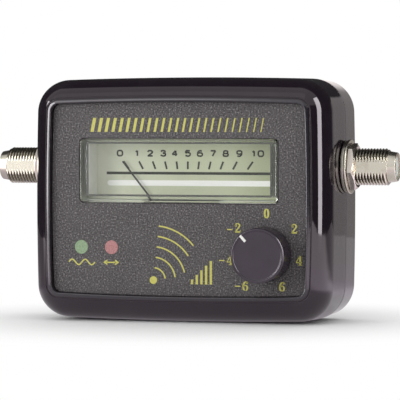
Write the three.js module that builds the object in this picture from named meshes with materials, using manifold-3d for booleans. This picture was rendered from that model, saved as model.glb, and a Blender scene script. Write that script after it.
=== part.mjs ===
// Hand-held aerial signal meter: a two-shell case with a pointer movement, a gain
// knob and a threaded coaxial socket on each side.
//
// Millimetres, +Z up, front towards -Y, +X to the right seen from the front.
// Inside the model y is measured from the front of the label panel, away from the
// reader, and z from the panel's centre. The outer group then stands the case on z = 0.

import * as THREE from 'three';
import { mergeVertices } from 'three/addons/utils/BufferGeometryUtils.js';
import Module from 'manifold-3d';

const wasm = await Module();
wasm.setup();

// Clearances and cuts
const SEAT_GAP = 0.05; // between faces that seat on each other
const FIT_GAP = 0.1; // round a piece that sits in a hole
const CUT_OVERRUN = 1; // how far a cut runs past the wall it opens

// Facets
const CORNER_STEPS = 5;
const SIDE_STEPS = 5; // odd, so that a flat facet lies at the middle of each side
const ROUND_STEPS = 5;
const CAVITY_STEPS = 2;
const WINDOW_CORNER_STEPS = 3;
const LARGE_ROUND_SEGMENTS = 28;
const ROUND_SEGMENTS = 18;
const SOCKET_SEGMENTS = 22;
const SMALL_ROUND_SEGMENTS = 10;

// Walls
const PANEL_THICKNESS = 0.35;
const FRONT_WALL = 2;
const CASE_WALL = 2;
const COVER_FLANGE_THICKNESS = 1.2;
const HOUSING_WALL = 1.2;

// Movement: core, coil and iron ring fit round each other
const CORE_RADIUS = 4.4;
const COIL_CORE_GAP = 0.5;
const COIL_STRIP = 0.7;
const COIL_WIDTH = 3;
const COIL_HALF_SPAN = CORE_RADIUS + COIL_CORE_GAP + COIL_STRIP;
const COIL_YOKE_GAP = 0.8;
const YOKE_WALL = 2.1;
const YOKE_INNER_RADIUS = COIL_HALF_SPAN + COIL_YOKE_GAP;
const YOKE_OUTER_RADIUS = YOKE_INNER_RADIUS + YOKE_WALL;
const CORE_END_CLEARANCE = 0.6; // between the core and the coil that passes it
const BRIDGE_WIDTH = 3;
const BRIDGE_THICKNESS = 0.9;
const BRIDGE_END_INSET = 0.2; // each bridge foot inside the edges of the iron ring
const BRIDGE_HALF_LENGTH = YOKE_OUTER_RADIUS - BRIDGE_END_INSET;
const BRIDGE_FOOT_LENGTH = YOKE_WALL - 2 * BRIDGE_END_INSET;
const CORE_POST_RADIUS = 0.6;
const CORE_POST_INSET = 0.8; // each post's axis inside the core's edge
const CORE_POST_PITCH_RADIUS = CORE_RADIUS - CORE_POST_INSET;
const BRIDGE_DISC_MARGIN = 0.4;
const BRIDGE_DISC_RADIUS = CORE_POST_PITCH_RADIUS + CORE_POST_RADIUS + BRIDGE_DISC_MARGIN;
const JEWEL_SCREW_RADIUS = 0.95;
const JEWEL_SCREW_STAND = 0.5; // either side of its bridge
const STAFF_RADIUS = 0.4;
const HAIRSPRING_Y_GAP = 0.25;
const HAIRSPRING_HEIGHT = 0.3;
const HAIRSPRING_BAND = 0.16;
const HAIRSPRING_INNER_RADIUS = 0.75;
const HAIRSPRING_OUTER_RADIUS = 2.9;
const HAIRSPRING_TURNS = 2;
const HAIRSPRING_STEPS_PER_TURN = 12;
const CRADLE_RIB_HEIGHT = 5;

// Depths, stacked from the label panel to the back of the case
const FRONT_WALL_BACK_Y = PANEL_THICKNESS + FRONT_WALL;
const FLANGE_FRONT_Y = FRONT_WALL_BACK_Y + SEAT_GAP;
const FLANGE_BACK_Y = FLANGE_FRONT_Y + COVER_FLANGE_THICKNESS;
const HOUSING_FRONT_Y = FLANGE_BACK_Y + SEAT_GAP;
const BRIDGE_FLANGE_GAP = 1.8;
const FRONT_BRIDGE_Y = FLANGE_BACK_Y + BRIDGE_FLANGE_GAP;
const FRONT_BRIDGE_BACK_Y = FRONT_BRIDGE_Y + BRIDGE_THICKNESS;
const NEEDLE_BRIDGE_GAP = 1;
const NEEDLE_THICKNESS = 0.3;
const NEEDLE_Y = FRONT_BRIDGE_BACK_Y + NEEDLE_BRIDGE_GAP;
const NEEDLE_BACK_Y = NEEDLE_Y + NEEDLE_THICKNESS;
const NEEDLE_DIAL_GAP = 1.1;
const DIAL_THICKNESS = 0.5;
const DIAL_Y = NEEDLE_BACK_Y + NEEDLE_DIAL_GAP;
const DIAL_BACK_Y = DIAL_Y + DIAL_THICKNESS;
const NEEDLE_COIL_GAP = 1;
const COIL_OVERHANG = 1; // coil in front of and behind the iron ring
const YOKE_DEPTH = 6.8;
const COIL_FRONT_Y = NEEDLE_BACK_Y + NEEDLE_COIL_GAP;
const YOKE_FRONT_Y = COIL_FRONT_Y + COIL_OVERHANG;
const YOKE_BACK_Y = YOKE_FRONT_Y + YOKE_DEPTH;
const COIL_BACK_Y = YOKE_BACK_Y + COIL_OVERHANG;
const CORE_FRONT_Y = COIL_FRONT_Y + COIL_STRIP + CORE_END_CLEARANCE;
const CORE_BACK_Y = COIL_BACK_Y - COIL_STRIP - CORE_END_CLEARANCE;
const COIL_BRIDGE_GAP = 0.65;
const REAR_BRIDGE_Y = COIL_BACK_Y + COIL_BRIDGE_GAP;
const REAR_BRIDGE_BACK_Y = REAR_BRIDGE_Y + BRIDGE_THICKNESS;
const BRIDGE_HOUSING_GAP = 0.25;
const HOUSING_BACK_Y = REAR_BRIDGE_BACK_Y + BRIDGE_HOUSING_GAP + HOUSING_WALL;
const HOUSING_BOARD_GAP = 1.2;
const BOARD_THICKNESS = 1.6;
const BOARD_FRONT_Y = HOUSING_BACK_Y + HOUSING_BOARD_GAP;
const BOARD_BACK_Y = BOARD_FRONT_Y + BOARD_THICKNESS;
const BOARD_BACK_ROOM = 3.6; // for the solder and the screw bosses' roots
const REAR_WALL_FRONT_Y = BOARD_BACK_Y + BOARD_BACK_ROOM;
const CASE_BACK_Y = REAR_WALL_FRONT_Y + CASE_WALL;

// Heights of the panel, stacked from its upper edge to its lower edge
const TITLE_FIELD_HEIGHT = 9.6; // above the window
const WINDOW_HALF_HEIGHT = 8.1;
const PIVOT_DROP = 11; // window's lower edge to the needle's pivot
const YOKE_ROOM = 1.8; // round the iron ring in its bay
const BAY_MARGIN = 1.5; // bay's bottom to the panel's lower edge
const BAY_DROP = PIVOT_DROP + YOKE_OUTER_RADIUS + YOKE_ROOM + HOUSING_WALL;
const PANEL_HALF_HEIGHT = (TITLE_FIELD_HEIGHT + 2 * WINDOW_HALF_HEIGHT + BAY_DROP + BAY_MARGIN) / 2;
const WINDOW_TOP_Z = PANEL_HALF_HEIGHT - TITLE_FIELD_HEIGHT;
const WINDOW_BOTTOM_Z = WINDOW_TOP_Z - 2 * WINDOW_HALF_HEIGHT;
const PIVOT_X = 0;
const PIVOT_Z = WINDOW_BOTTOM_Z - PIVOT_DROP;
const HOUSING_BOTTOM_Z = WINDOW_BOTTOM_Z - BAY_DROP;
const HOUSING_STEP_DROP = 0.7; // wide part of the housing below the window
const HOUSING_STEP_Z = WINDOW_BOTTOM_Z - HOUSING_STEP_DROP;

// Needle
const NEEDLE_REST_DEG = -38.9; // from straight up, on the zero mark
const NEEDLE_OVERREACH = 0.3; // tip above the window's upper edge at mid-scale
const NEEDLE_REACH = PIVOT_DROP + 2 * WINDOW_HALF_HEIGHT + NEEDLE_OVERREACH;
const NEEDLE_TIP_WIDTH = 0.34;
const NEEDLE_ROOT_WIDTH = 0.6;
const NEEDLE_HUB_RADIUS = 1.4;
const NEEDLE_TAIL_REACH = 5.6;
const NEEDLE_TOP_GAP = 1.2;
const BALANCE_ARM_REACH = 3.4; // each cross arm of the balance
const BALANCE_ARM_WIDTH = 0.5;
const BALANCE_WEIGHT_LENGTH = 1.6;
const BALANCE_WEIGHT_WIDTH = 1.5;

// Meter window and cover
const WINDOW_HALF_WIDTH = 26.45;
const WINDOW_CORNER_RADIUS = 1;
const WINDOW_PROUD = 0.8; // cover's face in front of the panel
const WINDOW_BEVEL = 0.45;
const WINDOW_CLEARANCE = 0.12; // round the cover in the panel and the front wall
const COVER_FACE_THICKNESS = 1.2;
const COVER_SIDE_WALL = 1.5;
const COVER_BOTTOM_WALL = 1.5;
const COVER_TOP_WALL = 0.7;

// Meter housing: a wide shallow part behind the dial, a narrow deep bay for the movement below it
const HOUSING_SIDE_OVERLAP = 1.75; // housing wider than the window on each side
const HOUSING_HALF_WIDTH = WINDOW_HALF_WIDTH + HOUSING_SIDE_OVERLAP;
const HOUSING_TOP_Z = PIVOT_Z + NEEDLE_REACH + NEEDLE_TOP_GAP + HOUSING_WALL;
const NEEDLE_X_AT_STEP = (HOUSING_STEP_Z + HOUSING_WALL - PIVOT_Z)
  * Math.tan(THREE.MathUtils.degToRad(-NEEDLE_REST_DEG)) + NEEDLE_ROOT_WIDTH;
const BAY_INNER_HALF_WIDTH = Math.max(YOKE_OUTER_RADIUS + YOKE_ROOM, NEEDLE_X_AT_STEP + FIT_GAP);
const BAY_HALF_WIDTH = BAY_INNER_HALF_WIDTH + HOUSING_WALL;
const METER_PIN_SIDE_INSET = 4.5; // from the bay's side
const METER_PIN_RISE = 3.4; // above the bay's bottom
const METER_PIN_X = BAY_HALF_WIDTH - METER_PIN_SIDE_INSET;
const METER_PIN_Z = HOUSING_BOTTOM_Z + METER_PIN_RISE;
const METER_PIN_RADIUS = 0.6;
const METER_PIN_TAIL = 1.6; // what shows behind the board

// Label panel in the front recess
const WINDOW_SIDE_MARGIN = 7.75; // window to the panel's side edge
const PANEL_HALF_WIDTH = WINDOW_HALF_WIDTH + WINDOW_SIDE_MARGIN;
const PANEL_CORNER_RADIUS = 2;
const PANEL_RISE = 0.25; // panel's centre above the case's centre
const CONTROL_FIELD_X = (BAY_HALF_WIDTH + PANEL_HALF_WIDTH) / 2; // middle of the field beside the bay
const CONTROL_FIELD_Z = (WINDOW_BOTTOM_Z - PANEL_HALF_HEIGHT) / 2; // middle of the field below the window

// Case: pillow-shaped outline seen from the front
const BEZEL_WIDTH = 6; // panel's side edge to the side of the case
const BEZEL_HEIGHT = 6.75; // panel's upper and lower edges to those of the case
const CASE_HALF_WIDTH = PANEL_HALF_WIDTH + BEZEL_WIDTH;
const CASE_HALF_HEIGHT = PANEL_HALF_HEIGHT + BEZEL_HEIGHT;
const CASE_SIDE_BOW = 0.55; // swell of the left and right sides over their ends
const CASE_TOP_BOW = 0.7; // swell of the top and the bottom over their ends
const CASE_CORNER_RADIUS = 8.8;
const BACK_EDGE_RADIUS = 1;
const SEAM_Y = 16.95;
const SEAM_GAP = 0.15;
const FRONT_ROUND_START_Y = 6; // where the flat side ends and the front rounding starts
const BEZEL_STAND = 1.35; // bezel's inner edge in front of the panel
const LIP_STAND = 1.9; // crest of the lip in front of the panel
const LIP_WIDTH = 1.3;
const LIP_ANGLES_DEG = [60, 90, 120]; // points on the lip's half round
const RECESS_SLOPE = 0.3; // how far the recess wall leans out
const CAVITY_ROUND = 3;
const CAVITY_ROUND_START_Y = 6;
const TONGUE_LENGTH = 1.8;
const TONGUE_THICKNESS = 1;
const TONGUE_ROOT = 2;

// Case screws and their bosses
const BOSS_SIDE_INSET = 7; // each boss's axis inside the case's side
const BOSS_TOP_INSET = 7.05; // each boss's axis inside the case's top or bottom
const BOSS_X = CASE_HALF_WIDTH - BOSS_SIDE_INSET;
const BOSS_Z = CASE_HALF_HEIGHT - BOSS_TOP_INSET;
const BOSS_RADIUS = 3.6;
const BOSS_PILOT_DEPTH = 9;
const BOSS_GAP = 0.3; // between a front boss and the rear boss that meets it
const SCREW_SHANK_RADIUS = 1.05;
const BOSS_PILOT_RADIUS = SCREW_SHANK_RADIUS + FIT_GAP;
const SCREW_HEAD_RADIUS = 2.6;
const SCREW_HEAD_HEIGHT = 1.8;
const SCREW_LENGTH = 14;
const SCREW_WELL_DEPTH = 4;
const SCREW_CLEARANCE = 0.45;
const SCREW_CLEARANCE_RADIUS = SCREW_SHANK_RADIUS + SCREW_CLEARANCE;
const CROSS_SLOT_LENGTH = 3;
const CROSS_SLOT_WIDTH = 0.7;
const CROSS_SLOT_DEPTH = 1;

// Gain potentiometer and knob
const KNOB_SHIFT_X = 0.3; // from the middle of the control field
const KNOB_SHIFT_Z = -1;
const KNOB_X = CONTROL_FIELD_X + KNOB_SHIFT_X;
const KNOB_Z = CONTROL_FIELD_Z + KNOB_SHIFT_Z;
const KNOB_REST_DEG = -41.4; // pointer from straight up
const POT_NUT_FLATS = 10;
const POT_NUT_THICKNESS = 1.8;
const POT_WASHER_MARGIN = 0.4; // washer wider than the nut's flats
const POT_WASHER_RADIUS = POT_NUT_FLATS / 2 + POT_WASHER_MARGIN;
const POT_WASHER_THICKNESS = 0.4;
const SHAFT_RADIUS = 3;
const KNOB_FRONT = 7.6; // knob's face in front of the panel
const KNOB_WALL = 1;
const KNOB_NUT_ROOM = 1.1; // from the nut's flats to the knob's wall, as its corners need
const KNOB_RADIUS = POT_NUT_FLATS / 2 + KNOB_NUT_ROOM + KNOB_WALL;
const KNOB_FACE_INSET = 0.5;
const KNOB_FACE_RADIUS = KNOB_RADIUS - KNOB_FACE_INSET;
const KNOB_FACE_DISH = 0.25;
const KNOB_FACE_RIM = 0.35;
const KNOB_FACE_SHOULDER = 0.55;
const KNOB_FACE_THICKNESS = 1.4;
const KNOB_PANEL_GAP = 0.6;
const KNOB_HUB_WALL = 1.3;
const KNOB_HUB_RADIUS = SHAFT_RADIUS + KNOB_HUB_WALL;
const KNOB_POINTER_LENGTH = 2.4;
const KNOB_POINTER_WIDTH = 0.85;
const KNOB_POINTER_DEPTH = 0.5;
const KNOB_POINTER_INSET = 0.35; // outer end of the pointer inside the knob's wall
const SHAFT_COVER = 2; // knob's thickness over the shaft's end
const SHAFT_FRONT = KNOB_FRONT - SHAFT_COVER; // shaft's end in front of the panel
const BUSH_WALL = 0.5;
const BUSH_RADIUS = SHAFT_RADIUS + BUSH_WALL;
const BUSH_THREAD_REST = 0.6; // bush's thread beyond its nut
const BUSH_FRONT = POT_WASHER_THICKNESS + POT_NUT_THICKNESS + 2 * SEAT_GAP + BUSH_THREAD_REST;
const BUSH_HOLE_CLEARANCE = 0.2;
const SHAFT_RUNNING_GAP = 0.06;
const POT_PLATE_THICKNESS = 0.8;
const POT_PLATE_FRONT_Y = FRONT_WALL_BACK_Y + SEAT_GAP;
const POT_PLATE_BACK_Y = POT_PLATE_FRONT_Y + POT_PLATE_THICKNESS;
const POT_CAN_FRONT_Y = POT_PLATE_BACK_Y + SEAT_GAP;
const POT_RADIUS = 8;
const POT_CAN_WALL = 0.5;
const POT_DEPTH = 8;
const POT_WIPER_INSET = 1.5; // wiper's edge inside the can's wall
const POT_WIPER_RADIUS = POT_RADIUS - POT_CAN_WALL - POT_WIPER_INSET;
const POT_WIPER_THICKNESS = 0.8;
const POT_WIPER_PLATE_GAP = 1.35;
const POT_WIPER_Y = POT_CAN_FRONT_Y + POT_WIPER_PLATE_GAP;
const POT_TRACK_GAP = 0.8; // behind the wiper
const POT_TRACK_THICKNESS = 1.3;
const POT_TRACK_Y = POT_WIPER_Y + POT_WIPER_THICKNESS + POT_TRACK_GAP;
const POT_TAG_LENGTH = 6;
const POT_TAG_WIDTH = 9.6;

// Circuit board between the bosses
const BOARD_BOSS_GAP = 0.6;
const BOARD_WALL_GAP = 3.15;
const BOARD_HALF_WIDTH = BOSS_X - BOSS_RADIUS - BOARD_BOSS_GAP;
const BOARD_HALF_HEIGHT = CASE_HALF_HEIGHT - CASE_WALL - BOARD_WALL_GAP;
const BOARD_CORNER_RADIUS = 2;
const BOARD_HOLE_CLEARANCE = 0.25;
const BOARD_POST_SIDE_INSET = 5;
const BOARD_POST_TOP_INSET = 4;
const BOARD_POST_X = BOARD_HALF_WIDTH - BOARD_POST_SIDE_INSET;
const BOARD_POST_Z = BOARD_HALF_HEIGHT - BOARD_POST_TOP_INSET;
const BOARD_POST_RADIUS = 2.6;
const BOARD_SCREW_SHANK_RADIUS = 1;
const BOARD_SCREW_HEAD_RADIUS = 2.2;
const BOARD_SCREW_HEAD_HEIGHT = 1.3;
const BOARD_SCREW_LENGTH = 4.6;

// Indicator lamps, soldered to the board
const LAMP_SIDE_INSET = 2.8; // first lamp from the board's side edge
const LAMP_PITCH = 8.2;
const LAMPS_SHIFT_Z = 0.3; // from the middle of the control field
const LAMP_GREEN_X = LAMP_SIDE_INSET - BOARD_HALF_WIDTH;
const LAMP_RED_X = LAMP_GREEN_X + LAMP_PITCH;
const LAMP_Z = CONTROL_FIELD_Z + LAMPS_SHIFT_Z;
const LAMP_RADIUS = 1.5;
const LAMP_WINDOW_MARGIN = 0.3;
const LAMP_WINDOW_RADIUS = LAMP_RADIUS + LAMP_WINDOW_MARGIN;
const LAMP_FLANGE_MARGIN = 0.45;
const LAMP_FLANGE_RADIUS = LAMP_RADIUS + LAMP_FLANGE_MARGIN;
const LAMP_FLANGE_THICKNESS = 1;
const LAMP_LENGTH = 5.2;
const LAMP_LEAD_PITCH = 2.54;
const LAMP_LEAD_WIDTH = 0.5;
const LAMP_DOME_STEPS = 4;

// What is soldered to the board beside the lamps
const BUZZER_RADIUS = 6;
const BUZZER_HEIGHT = 8.2;
const BUZZER_PORT_RADIUS = 1.1;
const BUZZER_PORT_DEPTH = 4;
const BUZZER_SHIFT_X = -1.25; // from the middle between the bay and the board's edge
const BUZZER_X = BUZZER_SHIFT_X - (BAY_HALF_WIDTH + BOARD_HALF_WIDTH) / 2;
const BUZZER_Z = BUZZER_RADIUS - BOARD_HALF_HEIGHT; // flush with the board's lower edge
const CAPACITOR_RADIUS = 3.15;
const CAPACITOR_HEIGHT = 9;
const CAPACITOR_EDGE = 0.4;
const CAPACITOR_X = 15;
const CAPACITOR_TOP_INSET = 14.5; // from the board's upper edge
const CAPACITOR_Z = BOARD_HALF_HEIGHT - CAPACITOR_TOP_INSET;
const UPPER_ROW_INSET = 4.5; // chip and transistor from the board's upper edge
const CHIP_WIDTH = 9.6;
const CHIP_DEPTH = 6.4;
const CHIP_HEIGHT = 3.3;
const CHIP_X = 2;
const CHIP_Z = BOARD_HALF_HEIGHT - UPPER_ROW_INSET;
const CHIP_NOTCH_RADIUS = 0.8;
const TRANSISTOR_RADIUS = 2.3;
const TRANSISTOR_FLAT = 1.3; // flat face from the centre
const TRANSISTOR_HEIGHT = 4.8;
const TRANSISTOR_X = -9;
const TRANSISTOR_Z = CHIP_Z;
const CHOKE_RADIUS = 3.6;
const CHOKE_HEIGHT = 6;
const CHOKE_WAIST = 0.9;
const CHOKE_FLANGE = 1;
const CHOKE_SIDE_INSET = 6; // from the board's side edge
const CHOKE_X = BOARD_HALF_WIDTH - CHOKE_SIDE_INSET;
const CHOKE_Z = 3;

// Threaded coaxial sockets, measured outwards from the side of the case
const SOCKET_SEAM_OFFSET = 0.05; // socket's axis in front of the seam
const SOCKET_Y = SEAM_Y - SOCKET_SEAM_OFFSET;
const SOCKET_Z = 8.2;
const SOCKET_REACH = 13.7;
const THREAD_CREST_RADIUS = 4.76;
const THREAD_DEPTH = 0.51;
const THREAD_ROOT_RADIUS = THREAD_CREST_RADIUS - THREAD_DEPTH;
const THREAD_PITCH = 0.794;
const NOSE_LENGTH = 2.1;
const NOSE_STEP = 0.2; // from the thread's root to the nose
const NOSE_TAPER = 0.35;
const NOSE_RADIUS = THREAD_ROOT_RADIUS - NOSE_STEP;
const NOSE_TIP_RADIUS = NOSE_RADIUS - NOSE_TAPER;
const THREAD_END = SOCKET_REACH - NOSE_LENGTH;
const SOCKET_MOUTH_WALL = 0.55;
const SOCKET_BORE_RADIUS = NOSE_TIP_RADIUS - SOCKET_MOUTH_WALL;
const SOCKET_HOLE_CLEARANCE = 0.35;
const SOCKET_FLANGE_MARGIN = 1.14; // flange wider than the thread
const SOCKET_FLANGE_RADIUS = THREAD_CREST_RADIUS + SOCKET_FLANGE_MARGIN;
const SOCKET_FLANGE_THICKNESS = 1.2;
const SOCKET_FLANGE_GAP = 0.25; // to the inside of the bowed wall
const SOCKET_TAIL = 7; // how far the socket reaches into the case
const SOCKET_TAIL_WALL = 0.85;
const SOCKET_TAIL_RADIUS = SOCKET_BORE_RADIUS + SOCKET_TAIL_WALL;
const INSULATOR_RECESS = 0.5;
const CONTACT_RADIUS = 0.85;
const INSULATOR_BORE_RADIUS = CONTACT_RADIUS + FIT_GAP;
const CONTACT_BORE_RADIUS = 0.45;
const CONTACT_BORE_DEPTH = 4;
const CONTACT_RECESS = 0.4; // behind the insulator's face
const CONTACT_TAIL = 2.4; // beyond the socket's tail
const LOCK_WASHER_MARGIN = 1.99; // washers wider than the thread
const LOCK_WASHER_RADIUS = THREAD_CREST_RADIUS + LOCK_WASHER_MARGIN;
const LOCK_WASHER_THICKNESS = 0.75;
const LOCK_WASHER_SPLIT = 0.9;
const FLAT_WASHER_MARGIN = 2.24;
const FLAT_WASHER_RADIUS = THREAD_CREST_RADIUS + FLAT_WASHER_MARGIN;
const FLAT_WASHER_THICKNESS = 0.6;
const WASHER_BORE_CLEARANCE = 0.15;
const SOCKET_NUT_MARGIN = 0.74; // nut's flats outside the thread
const SOCKET_NUT_FLATS = 2 * (THREAD_CREST_RADIUS + SOCKET_NUT_MARGIN);
const SOCKET_NUT_THICKNESS = 1.7;
const SOCKET_NUT_TURN_DEG = 12; // of one corner below the front

// Finishes
const FINISH = {
  caseGloss: new THREE.MeshStandardMaterial({ color: 0x17151a, roughness: 0.12, metalness: 0 }),
  panel: new THREE.MeshStandardMaterial({ color: 0x55525a, roughness: 0.75, metalness: 0 }),
  clear: new THREE.MeshStandardMaterial({ color: 0xe6efe6, roughness: 0.08, metalness: 0 }),
  housing: new THREE.MeshStandardMaterial({ color: 0xc9cdc2, roughness: 0.55, metalness: 0 }),
  dial: new THREE.MeshStandardMaterial({ color: 0xb9c3a0, roughness: 0.6, metalness: 0 }),
  needle: new THREE.MeshStandardMaterial({ color: 0x22241f, roughness: 0.5, metalness: 0 }),
  steel: new THREE.MeshStandardMaterial({ color: 0x8f9092, roughness: 0.35, metalness: 1 }),
  magnet: new THREE.MeshStandardMaterial({ color: 0x6f6f72, roughness: 0.4, metalness: 1 }),
  copper: new THREE.MeshStandardMaterial({ color: 0xb26b3a, roughness: 0.4, metalness: 1 }),
  brass: new THREE.MeshStandardMaterial({ color: 0xb8984c, roughness: 0.35, metalness: 1 }),
  nickel: new THREE.MeshStandardMaterial({ color: 0xc9c4b8, roughness: 0.25, metalness: 1 }),
  insulator: new THREE.MeshStandardMaterial({ color: 0xeeeeea, roughness: 0.5, metalness: 0 }),
  knob: new THREE.MeshStandardMaterial({ color: 0x2b2930, roughness: 0.4, metalness: 0 }),
  white: new THREE.MeshStandardMaterial({ color: 0xf0f0ec, roughness: 0.5, metalness: 0 }),
  greenFilm: new THREE.MeshStandardMaterial({ color: 0x7fae78, roughness: 0.5, metalness: 0 }),
  redFilm: new THREE.MeshStandardMaterial({ color: 0xb96a6a, roughness: 0.5, metalness: 0 }),
  greenLamp: new THREE.MeshStandardMaterial({ color: 0x5fb46a, roughness: 0.15, metalness: 0 }),
  redLamp: new THREE.MeshStandardMaterial({ color: 0xc8403c, roughness: 0.15, metalness: 0 }),
  board: new THREE.MeshStandardMaterial({ color: 0x2f5d3a, roughness: 0.5, metalness: 0 }),
  blackPlastic: new THREE.MeshStandardMaterial({ color: 0x202022, roughness: 0.55, metalness: 0 }),
  phenolic: new THREE.MeshStandardMaterial({ color: 0x6a4428, roughness: 0.7, metalness: 0 }),
  sleeve: new THREE.MeshStandardMaterial({ color: 0x1f2f55, roughness: 0.4, metalness: 0 }),
};

// Closed geometry with shared vertices, no empty triangles and its faces outwards
function closed(geometry) {
  const bare = geometry.clone();
  bare.deleteAttribute('normal');
  bare.deleteAttribute('uv');
  const merged = mergeVertices(bare);
  const from = merged.index.array;
  const kept = [];
  for (let i = 0; i < from.length; i += 3) {
    const [a, b, c] = [from[i], from[i + 1], from[i + 2]];
    if (a !== b && b !== c && c !== a) kept.push(a, b, c);
  }
  merged.setIndex(kept);
  if (signedVolume(merged) < 0) {
    const flipped = [];
    for (let i = 0; i < kept.length; i += 3) flipped.push(kept[i], kept[i + 2], kept[i + 1]);
    merged.setIndex(flipped);
  }
  return merged;
}

function signedVolume(geometry) {
  const at = geometry.attributes.position;
  const index = geometry.index.array;
  const [a, b, c] = [new THREE.Vector3(), new THREE.Vector3(), new THREE.Vector3()];
  let sum = 0;
  for (let i = 0; i < index.length; i += 3) {
    a.fromBufferAttribute(at, index[i]);
    b.fromBufferAttribute(at, index[i + 1]);
    c.fromBufferAttribute(at, index[i + 2]);
    sum += a.dot(b.cross(c));
  }
  return sum;
}

// Boolean joins and cuts
function toSolid(geometry) {
  const shape = closed(geometry);
  return new wasm.Manifold(new wasm.Mesh({
    numProp: 3,
    vertProperties: new Float32Array(shape.attributes.position.array),
    triVerts: new Uint32Array(shape.index.array),
  }));
}

function toGeometry(body) {
  const mesh = body.getMesh();
  const geometry = new THREE.BufferGeometry();
  geometry.setAttribute('position', new THREE.BufferAttribute(new Float32Array(mesh.vertProperties), 3));
  geometry.setIndex(new THREE.BufferAttribute(new Uint32Array(mesh.triVerts), 1));
  return geometry;
}

function join(first, ...others) {
  return toGeometry(others.reduce((body, other) => body.add(toSolid(other)), toSolid(first)));
}

function cut(first, ...tools) {
  return toGeometry(tools.reduce((body, tool) => body.subtract(toSolid(tool)), toSolid(first)));
}

function common(first, second) {
  return toGeometry(toSolid(first).intersect(toSolid(second)));
}

// Outlines, seen from the front with x to the right and z up
// A pillow outline: four shallow arcs joined by round corners that touch them
function pillow(outline) {
  const { halfWidth, halfHeight, sideBow, topBow, corner, centreZ } = outline;
  const sideRadius = (halfHeight ** 2 + sideBow ** 2) / (2 * sideBow);
  const topRadius = (halfWidth ** 2 + topBow ** 2) / (2 * topBow);
  const sideCentre = halfWidth - sideRadius;
  const topCentre = halfHeight - topRadius;
  const sideToCorner = sideRadius - corner;
  const topToCorner = topRadius - corner;
  const apart = Math.hypot(sideCentre, topCentre);
  const along = (sideToCorner ** 2 - topToCorner ** 2 + apart ** 2) / (2 * apart);
  const across = Math.sqrt(sideToCorner ** 2 - along ** 2);
  const [ux, uz] = [-sideCentre / apart, topCentre / apart];
  const cornerX = sideCentre + along * ux - across * uz;
  const cornerZ = along * uz + across * ux;
  const sideAngle = Math.atan2(cornerZ, cornerX - sideCentre);
  const topAngle = Math.atan2(cornerZ - topCentre, cornerX);
  const turn = Math.PI;
  const arcs = [
    [sideCentre, 0, sideRadius, -sideAngle, sideAngle, SIDE_STEPS],
    [cornerX, cornerZ, corner, sideAngle, topAngle, CORNER_STEPS],
    [0, topCentre, topRadius, topAngle, turn - topAngle, SIDE_STEPS],
    [-cornerX, cornerZ, corner, turn - topAngle, turn - sideAngle, CORNER_STEPS],
    [-sideCentre, 0, sideRadius, turn - sideAngle, turn + sideAngle, SIDE_STEPS],
    [-cornerX, -cornerZ, corner, turn + sideAngle, turn + topAngle, CORNER_STEPS],
    [0, -topCentre, topRadius, turn + topAngle, 2 * turn - topAngle, SIDE_STEPS],
    [cornerX, -cornerZ, corner, 2 * turn - topAngle, 2 * turn - sideAngle, CORNER_STEPS],
  ];
  return arcs.flatMap((arc) => arcPoints(...arc))
    .map((p) => new THREE.Vector2(p.x, p.y + centreZ));
}

// Points of an arc without its last one, which the next arc begins with
function arcPoints(x, z, radius, from, to, steps) {
  return Array.from({ length: steps }, (unused, i) => {
    const angle = from + (to - from) * (i / steps);
    return new THREE.Vector2(x + radius * Math.cos(angle), z + radius * Math.sin(angle));
  });
}

function roundedRectangle({ halfWidth, lowZ, highZ, corner }) {
  const quarter = Math.PI / 2;
  const corners = [
    [halfWidth - corner, highZ - corner],
    [-halfWidth + corner, highZ - corner],
    [-halfWidth + corner, lowZ + corner],
    [halfWidth - corner, lowZ + corner],
  ];
  return corners.flatMap(([x, z], i) => [
    ...arcPoints(x, z, corner, i * quarter, (i + 1) * quarter, WINDOW_CORNER_STEPS),
    new THREE.Vector2(
      x + corner * Math.cos((i + 1) * quarter),
      z + corner * Math.sin((i + 1) * quarter),
    ),
  ]);
}

// The same outline drawn in by a wall
function inset(outline, wall) {
  return {
    ...outline,
    halfWidth: outline.halfWidth - wall,
    halfHeight: outline.halfHeight - wall,
    corner: outline.corner - wall,
  };
}

// An outline part of the way from one to another
function between(first, second, share) {
  const mixed = {};
  for (const key of Object.keys(first)) mixed[key] = first[key] + (second[key] - first[key]) * share;
  return mixed;
}

// Solids
// A closed skin through rings of equally many points, each ring in a plane of one y
function loft(rings) {
  const count = rings[0].points.length;
  const positions = rings.flatMap(({ points, y }) => points.flatMap((p) => [p.x, y, p.y]));
  const faces = [];
  for (let ring = 0; ring + 1 < rings.length; ring += 1) {
    for (let k = 0; k < count; k += 1) {
      const a = ring * count + k;
      const b = ring * count + ((k + 1) % count);
      faces.push(a, b, b + count, a, b + count, a + count);
    }
  }
  const last = (rings.length - 1) * count;
  for (const [a, b, c] of THREE.ShapeUtils.triangulateShape(rings[0].points, [])) {
    faces.push(c, b, a);
  }
  for (const [a, b, c] of THREE.ShapeUtils.triangulateShape(rings.at(-1).points, [])) {
    faces.push(last + a, last + b, last + c);
  }
  const geometry = new THREE.BufferGeometry();
  geometry.setAttribute('position', new THREE.Float32BufferAttribute(positions, 3));
  geometry.setIndex(faces);
  return geometry;
}

// A plate of an outline seen from the front, from one y to another
function plate(points, frontY, backY, holes = []) {
  const shape = new THREE.Shape(points);
  shape.holes = holes.map((hole) => new THREE.Path(hole));
  const geometry = new THREE.ExtrudeGeometry(shape, {
    depth: backY - frontY,
    bevelEnabled: false,
    steps: 1,
  });
  return geometry.rotateX(Math.PI / 2).translate(0, backY, 0);
}

function block([lowX, highX], [frontY, backY], [lowZ, highZ]) {
  return new THREE.BoxGeometry(highX - lowX, backY - frontY, highZ - lowZ)
    .translate((lowX + highX) / 2, (frontY + backY) / 2, (lowZ + highZ) / 2);
}

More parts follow.
